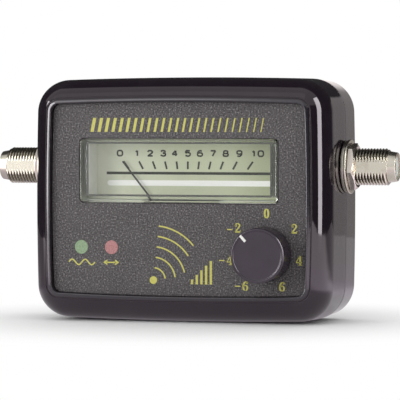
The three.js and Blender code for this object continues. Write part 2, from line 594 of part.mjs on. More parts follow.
// A round bar along y
function rod(radius, frontY, backY, x = 0, z = 0, segments = SMALL_ROUND_SEGMENTS) {
  return new THREE.CylinderGeometry(radius, radius, backY - frontY, segments)
    .translate(x, (frontY + backY) / 2, z);
}

// A turned solid about the y axis, from [radius, y] pairs
function turned(profile, segments = ROUND_SEGMENTS) {
  const points = profile.map(([radius, y]) => new THREE.Vector2(radius, y));
  return closed(new THREE.LatheGeometry(points, segments));
}

function ring(innerRadius, outerRadius, frontY, backY, segments = ROUND_SEGMENTS) {
  return turned([
    [innerRadius, frontY],
    [outerRadius, frontY],
    [outerRadius, backY],
    [innerRadius, backY],
    [innerRadius, frontY],
  ], segments);
}

function circle(radius, segments, x = 0, z = 0) {
  return arcPoints(x, z, radius, 0, 2 * Math.PI, segments);
}

// A hexagon across flats, its first corner turned from the x axis
function hexagon(flats, turn = 0) {
  const radius = flats / 2 / Math.cos(Math.PI / 6);
  return arcPoints(0, 0, radius, turn, turn + 2 * Math.PI, 6);
}

const model = new THREE.Group();

function addTo(group, name, geometry, material) {
  const mesh = new THREE.Mesh(geometry, material);
  mesh.name = name;
  group.add(mesh);
  return mesh;
}

function subGroup(parent, x, y, z) {
  const group = new THREE.Group();
  group.position.set(x, y, z);
  parent.add(group);
  return group;
}

// Case
const CASE_OUTLINE = {
  halfWidth: CASE_HALF_WIDTH,
  halfHeight: CASE_HALF_HEIGHT,
  sideBow: CASE_SIDE_BOW,
  topBow: CASE_TOP_BOW,
  corner: CASE_CORNER_RADIUS,
  centreZ: -PANEL_RISE,
};
const PANEL_OUTLINE = {
  halfWidth: PANEL_HALF_WIDTH,
  halfHeight: PANEL_HALF_HEIGHT,
  sideBow: CASE_SIDE_BOW,
  topBow: CASE_TOP_BOW,
  corner: PANEL_CORNER_RADIUS,
  centreZ: 0,
};
const FRONT_SHELL_BACK_Y = SEAM_Y - SEAM_GAP / 2;
const REAR_COVER_FRONT_Y = SEAM_Y + SEAM_GAP / 2;
const BOSS_PLACES = [-1, 1].flatMap((sx) => [-1, 1].map((sz) => [sx * BOSS_X, sz * BOSS_Z - PANEL_RISE]));
const BOSS_BASE_OVERLAP = CASE_WALL / 2;
const SCREW_HEAD_SEAT_Y = CASE_BACK_Y - SCREW_WELL_DEPTH;
const LAMPS = [['green', LAMP_GREEN_X], ['red', LAMP_RED_X]];

// Front skin: flat side, front rounding, small step, rounded lip and recess wall
function frontSkin() {
  const recess = { ...PANEL_OUTLINE };
  recess.halfWidth += FIT_GAP;
  recess.halfHeight += FIT_GAP;
  recess.corner += FIT_GAP;
  const lipInner = inset(recess, -RECESS_SLOPE);
  const lipOuter = inset(lipInner, -LIP_WIDTH);
  const roundDepth = FRONT_ROUND_START_Y + BEZEL_STAND;
  const rounding = Array.from({ length: ROUND_STEPS + 1 }, (unused, i) => {
    const angle = (Math.PI / 2) * (i / ROUND_STEPS);
    return {
      points: pillow(between(CASE_OUTLINE, lipOuter, 1 - Math.cos(angle))),
      y: FRONT_ROUND_START_Y - roundDepth * Math.sin(angle),
    };
  });
  const lip = LIP_ANGLES_DEG.map((degrees) => {
    const angle = THREE.MathUtils.degToRad(degrees);
    return {
      points: pillow(inset(lipOuter, LIP_WIDTH * (1 - Math.cos(angle)) / 2)),
      y: -BEZEL_STAND - (LIP_STAND - BEZEL_STAND) * Math.sin(angle),
    };
  });
  return loft([
    { points: pillow(CASE_OUTLINE), y: FRONT_SHELL_BACK_Y },
    ...rounding,
    ...lip,
    { points: pillow(lipInner), y: -BEZEL_STAND },
    { points: pillow(recess), y: PANEL_THICKNESS + SEAT_GAP },
  ]);
}

function frontCavity() {
  const inner = inset(CASE_OUTLINE, CASE_WALL);
  const floor = inset(inner, CAVITY_ROUND);
  const depth = CAVITY_ROUND_START_Y - FRONT_WALL_BACK_Y;
  const rounding = Array.from({ length: CAVITY_STEPS + 1 }, (unused, i) => {
    const angle = (Math.PI / 2) * (i / CAVITY_STEPS);
    return {
      points: pillow(between(inner, floor, 1 - Math.cos(angle))),
      y: CAVITY_ROUND_START_Y - depth * Math.sin(angle),
    };
  });
  return loft([{ points: pillow(inner), y: FRONT_SHELL_BACK_Y + CUT_OVERRUN }, ...rounding]);
}

function windowOutline(margin) {
  return roundedRectangle({
    halfWidth: WINDOW_HALF_WIDTH + margin,
    lowZ: WINDOW_BOTTOM_Z - margin,
    highZ: WINDOW_TOP_Z + margin,
    corner: WINDOW_CORNER_RADIUS + margin,
  });
}

// The round hole that both shells leave for the two sockets
function socketHole() {
  const reach = CASE_HALF_WIDTH + CUT_OVERRUN;
  const radius = THREAD_CREST_RADIUS + SOCKET_HOLE_CLEARANCE;
  return new THREE.CylinderGeometry(radius, radius, 2 * reach, ROUND_SEGMENTS)
    .rotateZ(Math.PI / 2)
    .translate(0, SOCKET_Y, SOCKET_Z);
}

function buildFrontShell() {
  const bossEnd = FRONT_SHELL_BACK_Y;
  const bosses = BOSS_PLACES.map(([x, z]) => rod(
    BOSS_RADIUS, FRONT_WALL_BACK_Y - BOSS_BASE_OVERLAP, bossEnd, x, z, ROUND_SEGMENTS));
  const pilots = BOSS_PLACES.map(([x, z]) => rod(
    BOSS_PILOT_RADIUS, bossEnd - BOSS_PILOT_DEPTH, bossEnd + CUT_OVERRUN, x, z));
  const lampHoles = LAMPS.map(([name, x]) => rod(
    LAMP_RADIUS + BUSH_HOLE_CLEARANCE, -CUT_OVERRUN, FRONT_WALL_BACK_Y + CUT_OVERRUN, x, LAMP_Z,
    ROUND_SEGMENTS));
  const hollow = cut(frontSkin(), frontCavity());
  return cut(
    join(hollow, ...bosses),
    ...pilots,
    ...lampHoles,
    plate(windowOutline(WINDOW_CLEARANCE), -CUT_OVERRUN, FRONT_WALL_BACK_Y + CUT_OVERRUN),
    rod(BUSH_RADIUS + BUSH_HOLE_CLEARANCE, -CUT_OVERRUN, FRONT_WALL_BACK_Y + CUT_OVERRUN,
      KNOB_X, KNOB_Z, ROUND_SEGMENTS),
    socketHole(),
  );
}

function rearSkin() {
  const tongue = inset(CASE_OUTLINE, CASE_WALL + FIT_GAP);
  const edge = inset(CASE_OUTLINE, BACK_EDGE_RADIUS);
  const edgeRings = Array.from({ length: CAVITY_STEPS + 1 }, (unused, i) => {
    const angle = (Math.PI / 2) * (i / CAVITY_STEPS);
    return {
      points: pillow(between(CASE_OUTLINE, edge, 1 - Math.cos(angle))),
      y: CASE_BACK_Y - BACK_EDGE_RADIUS * (1 - Math.sin(angle)),
    };
  });
  return loft([
    { points: pillow(tongue), y: SEAM_Y - TONGUE_LENGTH },
    { points: pillow(tongue), y: REAR_COVER_FRONT_Y },
    { points: pillow(CASE_OUTLINE), y: REAR_COVER_FRONT_Y },
    ...edgeRings,
  ]);
}

function rearCavity() {
  const mouth = pillow(inset(CASE_OUTLINE, CASE_WALL + FIT_GAP + TONGUE_THICKNESS));
  const room = pillow(inset(CASE_OUTLINE, CASE_WALL));
  return loft([
    { points: mouth, y: SEAM_Y - TONGUE_LENGTH - CUT_OVERRUN },
    { points: mouth, y: REAR_COVER_FRONT_Y + TONGUE_ROOT },
    { points: room, y: REAR_COVER_FRONT_Y + TONGUE_ROOT + TONGUE_THICKNESS },
    { points: room, y: REAR_WALL_FRONT_Y },
  ]);
}

// Room in the tongue for one socket's flange and its tail
function tongueNotch(side) {
  const wallFace = side * (CASE_HALF_WIDTH - CASE_WALL);
  const inward = side * (CASE_HALF_WIDTH - SOCKET_TAIL);
  const reach = SOCKET_FLANGE_RADIUS + SOCKET_HOLE_CLEARANCE;
  return block(
    [Math.min(wallFace, inward), Math.max(wallFace, inward)],
    [SEAM_Y - TONGUE_LENGTH - CUT_OVERRUN, SOCKET_Y + reach],
    [SOCKET_Z - reach, SOCKET_Z + reach],
  );
}

const BOARD_POSTS = [[-BOARD_POST_X, BOARD_POST_Z], [BOARD_POST_X, -BOARD_POST_Z]];

function buildRearCover() {
  const bosses = BOSS_PLACES.map(([x, z]) => rod(
    BOSS_RADIUS, FRONT_SHELL_BACK_Y + BOSS_GAP, REAR_WALL_FRONT_Y + BOSS_BASE_OVERLAP, x, z,
    ROUND_SEGMENTS));
  const posts = BOARD_POSTS.map(([x, z]) => rod(
    BOARD_POST_RADIUS, BOARD_BACK_Y + SEAT_GAP, REAR_WALL_FRONT_Y + BOSS_BASE_OVERLAP, x, z,
    ROUND_SEGMENTS));
  const bossRoom = BOSS_PLACES.map(([x, z]) => rod(
    BOSS_RADIUS + FIT_GAP, SEAM_Y - TONGUE_LENGTH - CUT_OVERRUN, FRONT_SHELL_BACK_Y + BOSS_GAP, x, z,
    ROUND_SEGMENTS));
  const clearances = BOSS_PLACES.map(([x, z]) => rod(
    SCREW_CLEARANCE_RADIUS, SEAM_Y, CASE_BACK_Y, x, z));
  const wells = BOSS_PLACES.map(([x, z]) => rod(
    SCREW_HEAD_RADIUS + BUSH_HOLE_CLEARANCE, SCREW_HEAD_SEAT_Y, CASE_BACK_Y + CUT_OVERRUN, x, z,
    ROUND_SEGMENTS));
  const postPilots = BOARD_POSTS.map(([x, z]) => rod(
    BOARD_SCREW_SHANK_RADIUS + FIT_GAP, BOARD_BACK_Y, BOARD_FRONT_Y + BOARD_SCREW_LENGTH, x, z));
  const hollow = cut(rearSkin(), rearCavity(), tongueNotch(-1), tongueNotch(1), ...bossRoom);
  return cut(join(hollow, ...bosses, ...posts), ...clearances, ...wells, ...postPilots, socketHole());
}

// A cross-slotted screw, its head's outer face at y = 0 and its shank towards -y
function crossSlotScrew(headRadius, headHeight, shankRadius, length) {
  const body = turned([
    [0, 0],
    [headRadius, 0],
    [headRadius, -headHeight],
    [shankRadius, -headHeight],
    [shankRadius, -length],
    [0, -length],
  ], ROUND_SEGMENTS);
  const long = CROSS_SLOT_LENGTH / 2;
  const short = CROSS_SLOT_WIDTH / 2;
  const deep = [-CROSS_SLOT_DEPTH, CUT_OVERRUN];
  return cut(body, block([-long, long], deep, [-short, short]), block([-short, short], deep, [-long, long]));
}

function addCaseScrews() {
  BOSS_PLACES.forEach(([x, z], i) => {
    const headFace = SCREW_HEAD_SEAT_Y + SCREW_HEAD_HEIGHT + SEAT_GAP;
    addTo(
      subGroup(model, x, headFace, z),
      `case_screw_${i + 1}`,
      crossSlotScrew(SCREW_HEAD_RADIUS, SCREW_HEAD_HEIGHT, SCREW_SHANK_RADIUS, SCREW_LENGTH),
      FINISH.steel,
    );
  });
}

function addLabelPanel() {
  const holes = [
    windowOutline(WINDOW_CLEARANCE),
    circle(BUSH_RADIUS + BUSH_HOLE_CLEARANCE, ROUND_SEGMENTS, KNOB_X, KNOB_Z),
    ...LAMPS.map(([name, x]) => circle(LAMP_WINDOW_RADIUS + SEAT_GAP, ROUND_SEGMENTS, x, LAMP_Z)),
  ];
  addTo(model, 'label_panel', plate(pillow(PANEL_OUTLINE), 0, PANEL_THICKNESS, holes), FINISH.panel);
  const films = { green: FINISH.greenFilm, red: FINISH.redFilm };
  for (const [name, x] of LAMPS) {
    const film = rod(LAMP_WINDOW_RADIUS, 0, PANEL_THICKNESS, 0, 0, ROUND_SEGMENTS);
    addTo(subGroup(model, x, 0, LAMP_Z), `lamp_window_${name}`, film, films[name]);
  }
}

// Meter cover, housing and dial

// The T-shaped outline of the meter seen from the front, drawn in by a margin
function meterOutline(margin) {
  const wide = HOUSING_HALF_WIDTH - margin;
  const narrow = BAY_HALF_WIDTH - margin;
  const top = HOUSING_TOP_Z - margin;
  const step = HOUSING_STEP_Z + margin;
  const bottom = HOUSING_BOTTOM_Z + margin;
  return [
    [wide, top], [-wide, top], [-wide, step], [-narrow, step],
    [-narrow, bottom], [narrow, bottom], [narrow, step], [wide, step],
  ].map(([x, z]) => new THREE.Vector2(x, z));
}

function bevelledWindowBlock() {
  const face = {
    halfWidth: WINDOW_HALF_WIDTH - WINDOW_BEVEL,
    lowZ: WINDOW_BOTTOM_Z + WINDOW_BEVEL,
    highZ: WINDOW_TOP_Z - WINDOW_BEVEL,
    corner: WINDOW_CORNER_RADIUS - WINDOW_BEVEL,
  };
  return loft([
    { points: windowOutline(0), y: FLANGE_BACK_Y },
    { points: windowOutline(0), y: -WINDOW_PROUD + WINDOW_BEVEL },
    { points: roundedRectangle(face), y: -WINDOW_PROUD },
  ]);
}

function buildMeterCover() {
  const room = block(
    [-WINDOW_HALF_WIDTH + COVER_SIDE_WALL, WINDOW_HALF_WIDTH - COVER_SIDE_WALL],
    [-WINDOW_PROUD + COVER_FACE_THICKNESS, FLANGE_BACK_Y + CUT_OVERRUN],
    [WINDOW_BOTTOM_Z + COVER_BOTTOM_WALL, WINDOW_TOP_Z - COVER_TOP_WALL],
  );
  const flange = plate(meterOutline(0), FLANGE_FRONT_Y, FLANGE_BACK_Y);
  return cut(join(bevelledWindowBlock(), flange), room);
}

function buildMeterHousing() {
  const behindDial = DIAL_BACK_Y + SEAT_GAP;
  const shallow = block(
    [-HOUSING_HALF_WIDTH, HOUSING_HALF_WIDTH],
    [HOUSING_FRONT_Y, behindDial + HOUSING_WALL],
    [HOUSING_STEP_Z, HOUSING_TOP_Z],
  );
  const bay = block(
    [-BAY_HALF_WIDTH, BAY_HALF_WIDTH],
    [HOUSING_FRONT_Y, HOUSING_BACK_Y],
    [HOUSING_BOTTOM_Z, HOUSING_STEP_Z + HOUSING_WALL],
  );
  const shallowRoom = block(
    [-HOUSING_HALF_WIDTH + HOUSING_WALL, HOUSING_HALF_WIDTH - HOUSING_WALL],
    [HOUSING_FRONT_Y - CUT_OVERRUN, behindDial],
    [HOUSING_STEP_Z + HOUSING_WALL, HOUSING_TOP_Z - HOUSING_WALL],
  );
  const bayRoom = block(
    [-BAY_INNER_HALF_WIDTH, BAY_INNER_HALF_WIDTH],
    [HOUSING_FRONT_Y - CUT_OVERRUN, HOUSING_BACK_Y - HOUSING_WALL],
    [HOUSING_BOTTOM_Z + HOUSING_WALL, HOUSING_STEP_Z + HOUSING_WALL],
  );
  const needleRoom = block(
    [-BAY_INNER_HALF_WIDTH, BAY_INNER_HALF_WIDTH],
    [HOUSING_FRONT_Y - CUT_OVERRUN, DIAL_Y - SEAT_GAP],
    [HOUSING_STEP_Z, HOUSING_STEP_Z + 2 * HOUSING_WALL],
  );
  // Two ribs hold the iron ring between them
  const ribFace = YOKE_OUTER_RADIUS + FIT_GAP;
  const ribs = [-1, 1].map((side) => {
    const ends = [side * ribFace, side * (BAY_HALF_WIDTH - HOUSING_WALL / 2)];
    return block(
      [Math.min(...ends), Math.max(...ends)],
      [YOKE_FRONT_Y, HOUSING_BACK_Y - HOUSING_WALL / 2],
      [PIVOT_Z - CRADLE_RIB_HEIGHT / 2, PIVOT_Z + CRADLE_RIB_HEIGHT / 2],
    );
  });
  return join(cut(join(shallow, bay), shallowRoom, bayRoom, needleRoom), ...ribs);
}

function buildDial() {
  const inner = HOUSING_WALL + FIT_GAP;
  return block(
    [-HOUSING_HALF_WIDTH + inner, HOUSING_HALF_WIDTH - inner],
    [DIAL_Y, DIAL_BACK_Y],
    [HOUSING_STEP_Z + inner, HOUSING_TOP_Z - inner],
  );
}

function addMeter() {
  addTo(model, 'meter_cover', buildMeterCover(), FINISH.clear);
  addTo(model, 'meter_housing', buildMeterHousing(), FINISH.housing);
  addTo(model, 'dial_plate', buildDial(), FINISH.dial);
  for (const [name, side] of [['left', -1], ['right', 1]]) {
    const pin = rod(METER_PIN_RADIUS, HOUSING_BACK_Y + SEAT_GAP, BOARD_BACK_Y + METER_PIN_TAIL);
    addTo(subGroup(model, side * METER_PIN_X, 0, METER_PIN_Z), `meter_pin_${name}`, pin, FINISH.brass);
  }
}

// Movement, built about its pivot
const STAFF_BORE = STAFF_RADIUS + FIT_GAP;

function buildNeedle() {
  const tip = NEEDLE_TIP_WIDTH / 2;
  const root = NEEDLE_ROOT_WIDTH / 2;
  const arm = BALANCE_ARM_WIDTH / 2;
  const weight = BALANCE_WEIGHT_WIDTH / 2;
  const span = [NEEDLE_Y, NEEDLE_BACK_Y];
  const pointer = plate([[tip, NEEDLE_REACH], [-tip, NEEDLE_REACH], [-root, 0], [root, 0]]
    .map(([x, z]) => new THREE.Vector2(x, z)), ...span);
  const tailEnd = -NEEDLE_TAIL_REACH;
  return cut(
    join(
      pointer,
      block([-arm, arm], span, [tailEnd, 0]),
      block([-weight, weight], span, [tailEnd, tailEnd + BALANCE_WEIGHT_LENGTH]),
      block([-BALANCE_ARM_REACH, BALANCE_ARM_REACH], span, [-arm, arm]),
      rod(NEEDLE_HUB_RADIUS, ...span, 0, 0, ROUND_SEGMENTS),
    ),
    rod(STAFF_BORE, NEEDLE_Y - CUT_OVERRUN, NEEDLE_BACK_Y + CUT_OVERRUN),
  );
}

function buildCoil() {
  const half = COIL_WIDTH / 2;
  const inner = COIL_HALF_SPAN - COIL_STRIP;
  return cut(
    block([-COIL_HALF_SPAN, COIL_HALF_SPAN], [COIL_FRONT_Y, COIL_BACK_Y], [-half, half]),
    block([-inner, inner], [COIL_FRONT_Y + COIL_STRIP, COIL_BACK_Y - COIL_STRIP],
      [-half - CUT_OVERRUN, half + CUT_OVERRUN]),
  );
}

// A flat spiral band
function buildHairspring() {
  const steps = HAIRSPRING_TURNS * HAIRSPRING_STEPS_PER_TURN;
  const edge = (offset) => Array.from({ length: steps + 1 }, (unused, i) => {
    const angle = 2 * Math.PI * (i / HAIRSPRING_STEPS_PER_TURN);
    const radius = HAIRSPRING_INNER_RADIUS + offset
      + (HAIRSPRING_OUTER_RADIUS - HAIRSPRING_INNER_RADIUS) * (i / steps);
    return new THREE.Vector2(radius * Math.cos(angle), radius * Math.sin(angle));
  });
  const half = HAIRSPRING_BAND / 2;
  return plate([...edge(half), ...edge(-half).reverse()], 0, HAIRSPRING_HEIGHT);
}

function bridgeFeet(frontY, backY) {
  const half = BRIDGE_WIDTH / 2;
  return [-1, 1].map((side) => {
    const ends = [side * BRIDGE_HALF_LENGTH, side * (BRIDGE_HALF_LENGTH - BRIDGE_FOOT_LENGTH)];
    return block([Math.min(...ends), Math.max(...ends)], [frontY, backY], [-half, half]);
  });
}

function buildFrontBridge() {
  const half = BRIDGE_WIDTH / 2;
  return cut(
    join(
      block([-BRIDGE_HALF_LENGTH, BRIDGE_HALF_LENGTH], [FRONT_BRIDGE_Y, FRONT_BRIDGE_BACK_Y],
        [-half, half]),
      ...bridgeFeet(FRONT_BRIDGE_Y, YOKE_FRONT_Y - SEAT_GAP),
    ),
    rod(JEWEL_SCREW_RADIUS + FIT_GAP, FRONT_BRIDGE_Y - CUT_OVERRUN,
      FRONT_BRIDGE_BACK_Y + CUT_OVERRUN, 0, 0, ROUND_SEGMENTS),
  );
}

// The rear bridge also carries the core, on two posts that the coil swings clear of
function buildRearBridge() {
  const half = BRIDGE_WIDTH / 2;
  const posts = [-1, 1].map((side) => rod(
    CORE_POST_RADIUS, CORE_BACK_Y + SEAT_GAP, REAR_BRIDGE_BACK_Y, 0, side * CORE_POST_PITCH_RADIUS));
  return cut(
    join(
      block([-BRIDGE_HALF_LENGTH, BRIDGE_HALF_LENGTH], [REAR_BRIDGE_Y, REAR_BRIDGE_BACK_Y],
        [-half, half]),
      rod(BRIDGE_DISC_RADIUS, REAR_BRIDGE_Y, REAR_BRIDGE_BACK_Y, 0, 0, ROUND_SEGMENTS),
      ...bridgeFeet(YOKE_BACK_Y + SEAT_GAP, REAR_BRIDGE_BACK_Y),
      ...posts,
    ),
    rod(JEWEL_SCREW_RADIUS + FIT_GAP, REAR_BRIDGE_Y - CUT_OVERRUN,
      REAR_BRIDGE_BACK_Y + CUT_OVERRUN, 0, 0, ROUND_SEGMENTS),
  );
}

function addMovement() {
  const movement = subGroup(model, PIVOT_X, 0, PIVOT_Z);
  addTo(movement, 'iron_ring', ring(YOKE_INNER_RADIUS, YOKE_OUTER_RADIUS, YOKE_FRONT_Y, YOKE_BACK_Y,
    LARGE_ROUND_SEGMENTS), FINISH.steel);
  addTo(movement, 'core_magnet', rod(CORE_RADIUS, CORE_FRONT_Y, CORE_BACK_Y, 0, 0, ROUND_SEGMENTS),
    FINISH.magnet);
  addTo(movement, 'bridge_front', buildFrontBridge(), FINISH.brass);
  addTo(movement, 'bridge_rear', buildRearBridge(), FINISH.brass);
  const frontJewel = [FRONT_BRIDGE_Y - JEWEL_SCREW_STAND, FRONT_BRIDGE_BACK_Y + JEWEL_SCREW_STAND];
  const rearJewel = [REAR_BRIDGE_Y, REAR_BRIDGE_BACK_Y];
  addTo(movement, 'jewel_screw_front', rod(JEWEL_SCREW_RADIUS, ...frontJewel), FINISH.brass);
  addTo(movement, 'jewel_screw_rear', rod(JEWEL_SCREW_RADIUS, ...rearJewel), FINISH.brass);

  const moving = subGroup(movement, 0, 0, 0);
  moving.rotation.y = THREE.MathUtils.degToRad(NEEDLE_REST_DEG);
  addTo(moving, 'needle', buildNeedle(), FINISH.needle);
  addTo(moving, 'moving_coil', buildCoil(), FINISH.copper);
  addTo(moving, 'staff_front', rod(STAFF_RADIUS, frontJewel[1] + SEAT_GAP, COIL_FRONT_Y - SEAT_GAP),
    FINISH.steel);
  addTo(moving, 'staff_rear', rod(STAFF_RADIUS, COIL_BACK_Y + SEAT_GAP, rearJewel[0] - SEAT_GAP),
    FINISH.steel);

  const springs = [
    ['hairspring_front', NEEDLE_BACK_Y + HAIRSPRING_Y_GAP],
    ['hairspring_rear', COIL_BACK_Y + (REAR_BRIDGE_Y - COIL_BACK_Y - HAIRSPRING_HEIGHT) / 2],
  ];
  for (const [name, frontY] of springs) {
    addTo(subGroup(movement, 0, frontY, 0), name, buildHairspring(), FINISH.brass);
  }
}

// Potentiometer, built about its shaft
const POT_TAG_HALF_WIDTH = POT_TAG_WIDTH / 2;

function buildPotBush() {
  const bore = SHAFT_RADIUS + SHAFT_RUNNING_GAP;
  return turned([
    [bore, -BUSH_FRONT],
    [BUSH_RADIUS, -BUSH_FRONT],
    [BUSH_RADIUS, POT_PLATE_FRONT_Y],
    [POT_RADIUS, POT_PLATE_FRONT_Y],
    [POT_RADIUS, POT_PLATE_BACK_Y],
    [bore, POT_PLATE_BACK_Y],
    [bore, -BUSH_FRONT],
  ]);
}

function buildPotCan() {
  const back = POT_CAN_FRONT_Y + POT_DEPTH;
  const inner = POT_RADIUS - POT_CAN_WALL;
  const cup = turned([
    [0, back],
    [POT_RADIUS, back],
    [POT_RADIUS, POT_CAN_FRONT_Y],
    [inner, POT_CAN_FRONT_Y],
    [inner, back - POT_CAN_WALL],
    [0, back - POT_CAN_WALL],
  ]);
  const tagDoor = block(
    [-POT_TAG_HALF_WIDTH - FIT_GAP, POT_TAG_HALF_WIDTH + FIT_GAP],
    [POT_CAN_FRONT_Y - CUT_OVERRUN, POT_TRACK_Y + POT_TRACK_THICKNESS + FIT_GAP],
    [-POT_RADIUS - CUT_OVERRUN, -POT_RADIUS / 2],
  );
  return cut(cup, tagDoor);
}

function buildPotTrack() {
  const back = POT_TRACK_Y + POT_TRACK_THICKNESS;
  const radius = POT_RADIUS - POT_CAN_WALL - FIT_GAP;
  const tags = [-1, 0, 1].map((place) => {
    const width = POT_TAG_WIDTH / 7;
    const x = place * (POT_TAG_WIDTH - width) / 2;
    return block(
      [x - width / 2, x + width / 2],
      [POT_TRACK_Y, back],
      [-POT_RADIUS - POT_TAG_LENGTH, -radius / 2],
    );
  });
  return join(rod(radius, POT_TRACK_Y, back, 0, 0, ROUND_SEGMENTS), ...tags);
}

function buildKnob() {
  const face = -KNOB_FRONT;
  const back = -KNOB_PANEL_GAP;
  const inside = face + KNOB_FACE_THICKNESS;
  const hubBack = -BUSH_FRONT - SHAFT_RUNNING_GAP - FIT_GAP;
  const bore = SHAFT_RADIUS + SHAFT_RUNNING_GAP;
  const body = turned([
    [0, face + KNOB_FACE_DISH],
    [KNOB_FACE_RADIUS - KNOB_FACE_RIM, face + KNOB_FACE_DISH],
    [KNOB_FACE_RADIUS - KNOB_FACE_RIM / 2, face],
    [KNOB_FACE_RADIUS, face],
    [KNOB_RADIUS - (KNOB_RADIUS - KNOB_FACE_RADIUS) / 4, face + KNOB_FACE_SHOULDER / 2],
    [KNOB_RADIUS, face + KNOB_FACE_SHOULDER],
    [KNOB_RADIUS, back],
    [KNOB_RADIUS - KNOB_WALL, back],
    [KNOB_RADIUS - KNOB_WALL, inside],
    [KNOB_HUB_RADIUS, inside],
    [KNOB_HUB_RADIUS, hubBack],
    [bore, hubBack],
    [bore, -SHAFT_FRONT - SEAT_GAP],
    [0, -SHAFT_FRONT - SEAT_GAP],
  ], LARGE_ROUND_SEGMENTS);
  const half = KNOB_POINTER_WIDTH / 2 + SEAT_GAP;
  const slot = block(
    [-half, half],
    [face - CUT_OVERRUN, face + KNOB_POINTER_DEPTH + SEAT_GAP],
    [KNOB_RADIUS - KNOB_POINTER_LENGTH - SEAT_GAP, KNOB_RADIUS + CUT_OVERRUN],
  );
  return cut(body, slot);
}

function buildKnobPointer() {
  const half = KNOB_POINTER_WIDTH / 2;
  const outer = KNOB_RADIUS - KNOB_POINTER_INSET;
  return block(
    [-half, half],
    [-KNOB_FRONT + KNOB_FACE_DISH / 2, -KNOB_FRONT + KNOB_POINTER_DEPTH],
    [KNOB_RADIUS - KNOB_POINTER_LENGTH, outer],
  );
}

function addPotentiometer() {
  const pot = subGroup(model, KNOB_X, 0, KNOB_Z);
  addTo(pot, 'pot_bush', buildPotBush(), FINISH.steel);
  addTo(pot, 'pot_can', buildPotCan(), FINISH.steel);
  addTo(pot, 'pot_track', buildPotTrack(), FINISH.phenolic);
  const washerBack = -SEAT_GAP;
  const washerFront = washerBack - POT_WASHER_THICKNESS;
  const nutBack = washerFront - SEAT_GAP;
  const bore = BUSH_RADIUS + FIT_GAP;
  addTo(pot, 'pot_washer', ring(bore, POT_WASHER_RADIUS, washerFront, washerBack), FINISH.nickel);
  addTo(pot, 'pot_nut', plate(hexagon(POT_NUT_FLATS), nutBack - POT_NUT_THICKNESS, nutBack,
    [circle(bore, ROUND_SEGMENTS)]), FINISH.nickel);

  const turning = subGroup(pot, 0, 0, 0);
  turning.rotation.y = THREE.MathUtils.degToRad(KNOB_REST_DEG);
  addTo(turning, 'pot_shaft', rod(SHAFT_RADIUS, -SHAFT_FRONT, POT_WIPER_Y - SEAT_GAP, 0, 0, ROUND_SEGMENTS),
    FINISH.brass);
  const wiper = rod(POT_WIPER_RADIUS, POT_WIPER_Y, POT_WIPER_Y + POT_WIPER_THICKNESS, 0, 0,
    ROUND_SEGMENTS);
  addTo(turning, 'pot_wiper', wiper, FINISH.brass);
  addTo(turning, 'knob', buildKnob(), FINISH.knob);
  addTo(turning, 'knob_pointer', buildKnobPointer(), FINISH.white);
}

// Lamps, built about their own axes
const LAMP_TIP_Y = PANEL_THICKNESS + FIT_GAP;
const LAMP_LEAD_END_Y = BOARD_BACK_Y + METER_PIN_TAIL;

function buildLamp() {
  const base = LAMP_TIP_Y + LAMP_LENGTH;
  const dome = Array.from({ length: LAMP_DOME_STEPS + 1 }, (unused, i) => {
    const angle = (Math.PI / 2) * (i / LAMP_DOME_STEPS);
    return [LAMP_RADIUS * Math.sin(angle), LAMP_TIP_Y + LAMP_RADIUS * (1 - Math.cos(angle))];
  });
  const bulb = turned([
    ...dome,
    [LAMP_RADIUS, base - LAMP_FLANGE_THICKNESS],
    [LAMP_FLANGE_RADIUS, base - LAMP_FLANGE_THICKNESS],
    [LAMP_FLANGE_RADIUS, base],
    [0, base],
  ]);
  const half = LAMP_LEAD_WIDTH / 2;
  const leads = [-1, 1].map((side) => {
    const x = side * LAMP_LEAD_PITCH / 2;
    return block([x - half, x + half], [base - LAMP_FLANGE_THICKNESS / 2, LAMP_LEAD_END_Y], [-half, half]);
  });
  return join(bulb, ...leads);
}

function addLamps() {
  const glow = { green: FINISH.greenLamp, red: FINISH.redLamp };
  for (const [name, x] of LAMPS) {
    addTo(subGroup(model, x, 0, LAMP_Z), `lamp_${name}`, buildLamp(), glow[name]);
  }
}

// Circuit board and the parts on its front
function addBoard() {
  const leadHole = LAMP_LEAD_WIDTH / 2 + BOARD_HOLE_CLEARANCE;
  const holes = [
    ...LAMPS.flatMap(([name, x]) => [-1, 1].map((side) => circle(
      leadHole, SMALL_ROUND_SEGMENTS, x + side * LAMP_LEAD_PITCH / 2, LAMP_Z))),
    ...[-1, 1].map((side) => circle(
      METER_PIN_RADIUS + BOARD_HOLE_CLEARANCE, SMALL_ROUND_SEGMENTS, side * METER_PIN_X, METER_PIN_Z)),
    ...BOARD_POSTS.map(([x, z]) => circle(
      BOARD_SCREW_SHANK_RADIUS + BOARD_HOLE_CLEARANCE, SMALL_ROUND_SEGMENTS, x, z)),
  ];
  const outline = roundedRectangle({
    halfWidth: BOARD_HALF_WIDTH,
    lowZ: -BOARD_HALF_HEIGHT,
    highZ: BOARD_HALF_HEIGHT,
    corner: BOARD_CORNER_RADIUS,
  });
  addTo(model, 'circuit_board', plate(outline, BOARD_FRONT_Y, BOARD_BACK_Y, holes), FINISH.board);
  BOARD_POSTS.forEach(([x, z], i) => {
    const screw = crossSlotScrew(
      BOARD_SCREW_HEAD_RADIUS, BOARD_SCREW_HEAD_HEIGHT, BOARD_SCREW_SHANK_RADIUS, BOARD_SCREW_LENGTH);
    const place = subGroup(model, x, BOARD_FRONT_Y - BOARD_SCREW_HEAD_HEIGHT - SEAT_GAP, z);
    place.rotation.z = Math.PI;
    addTo(place, `board_screw_${i + 1}`, screw, FINISH.steel);
  });
}

const ON_BOARD_Y = BOARD_FRONT_Y - SEAT_GAP;

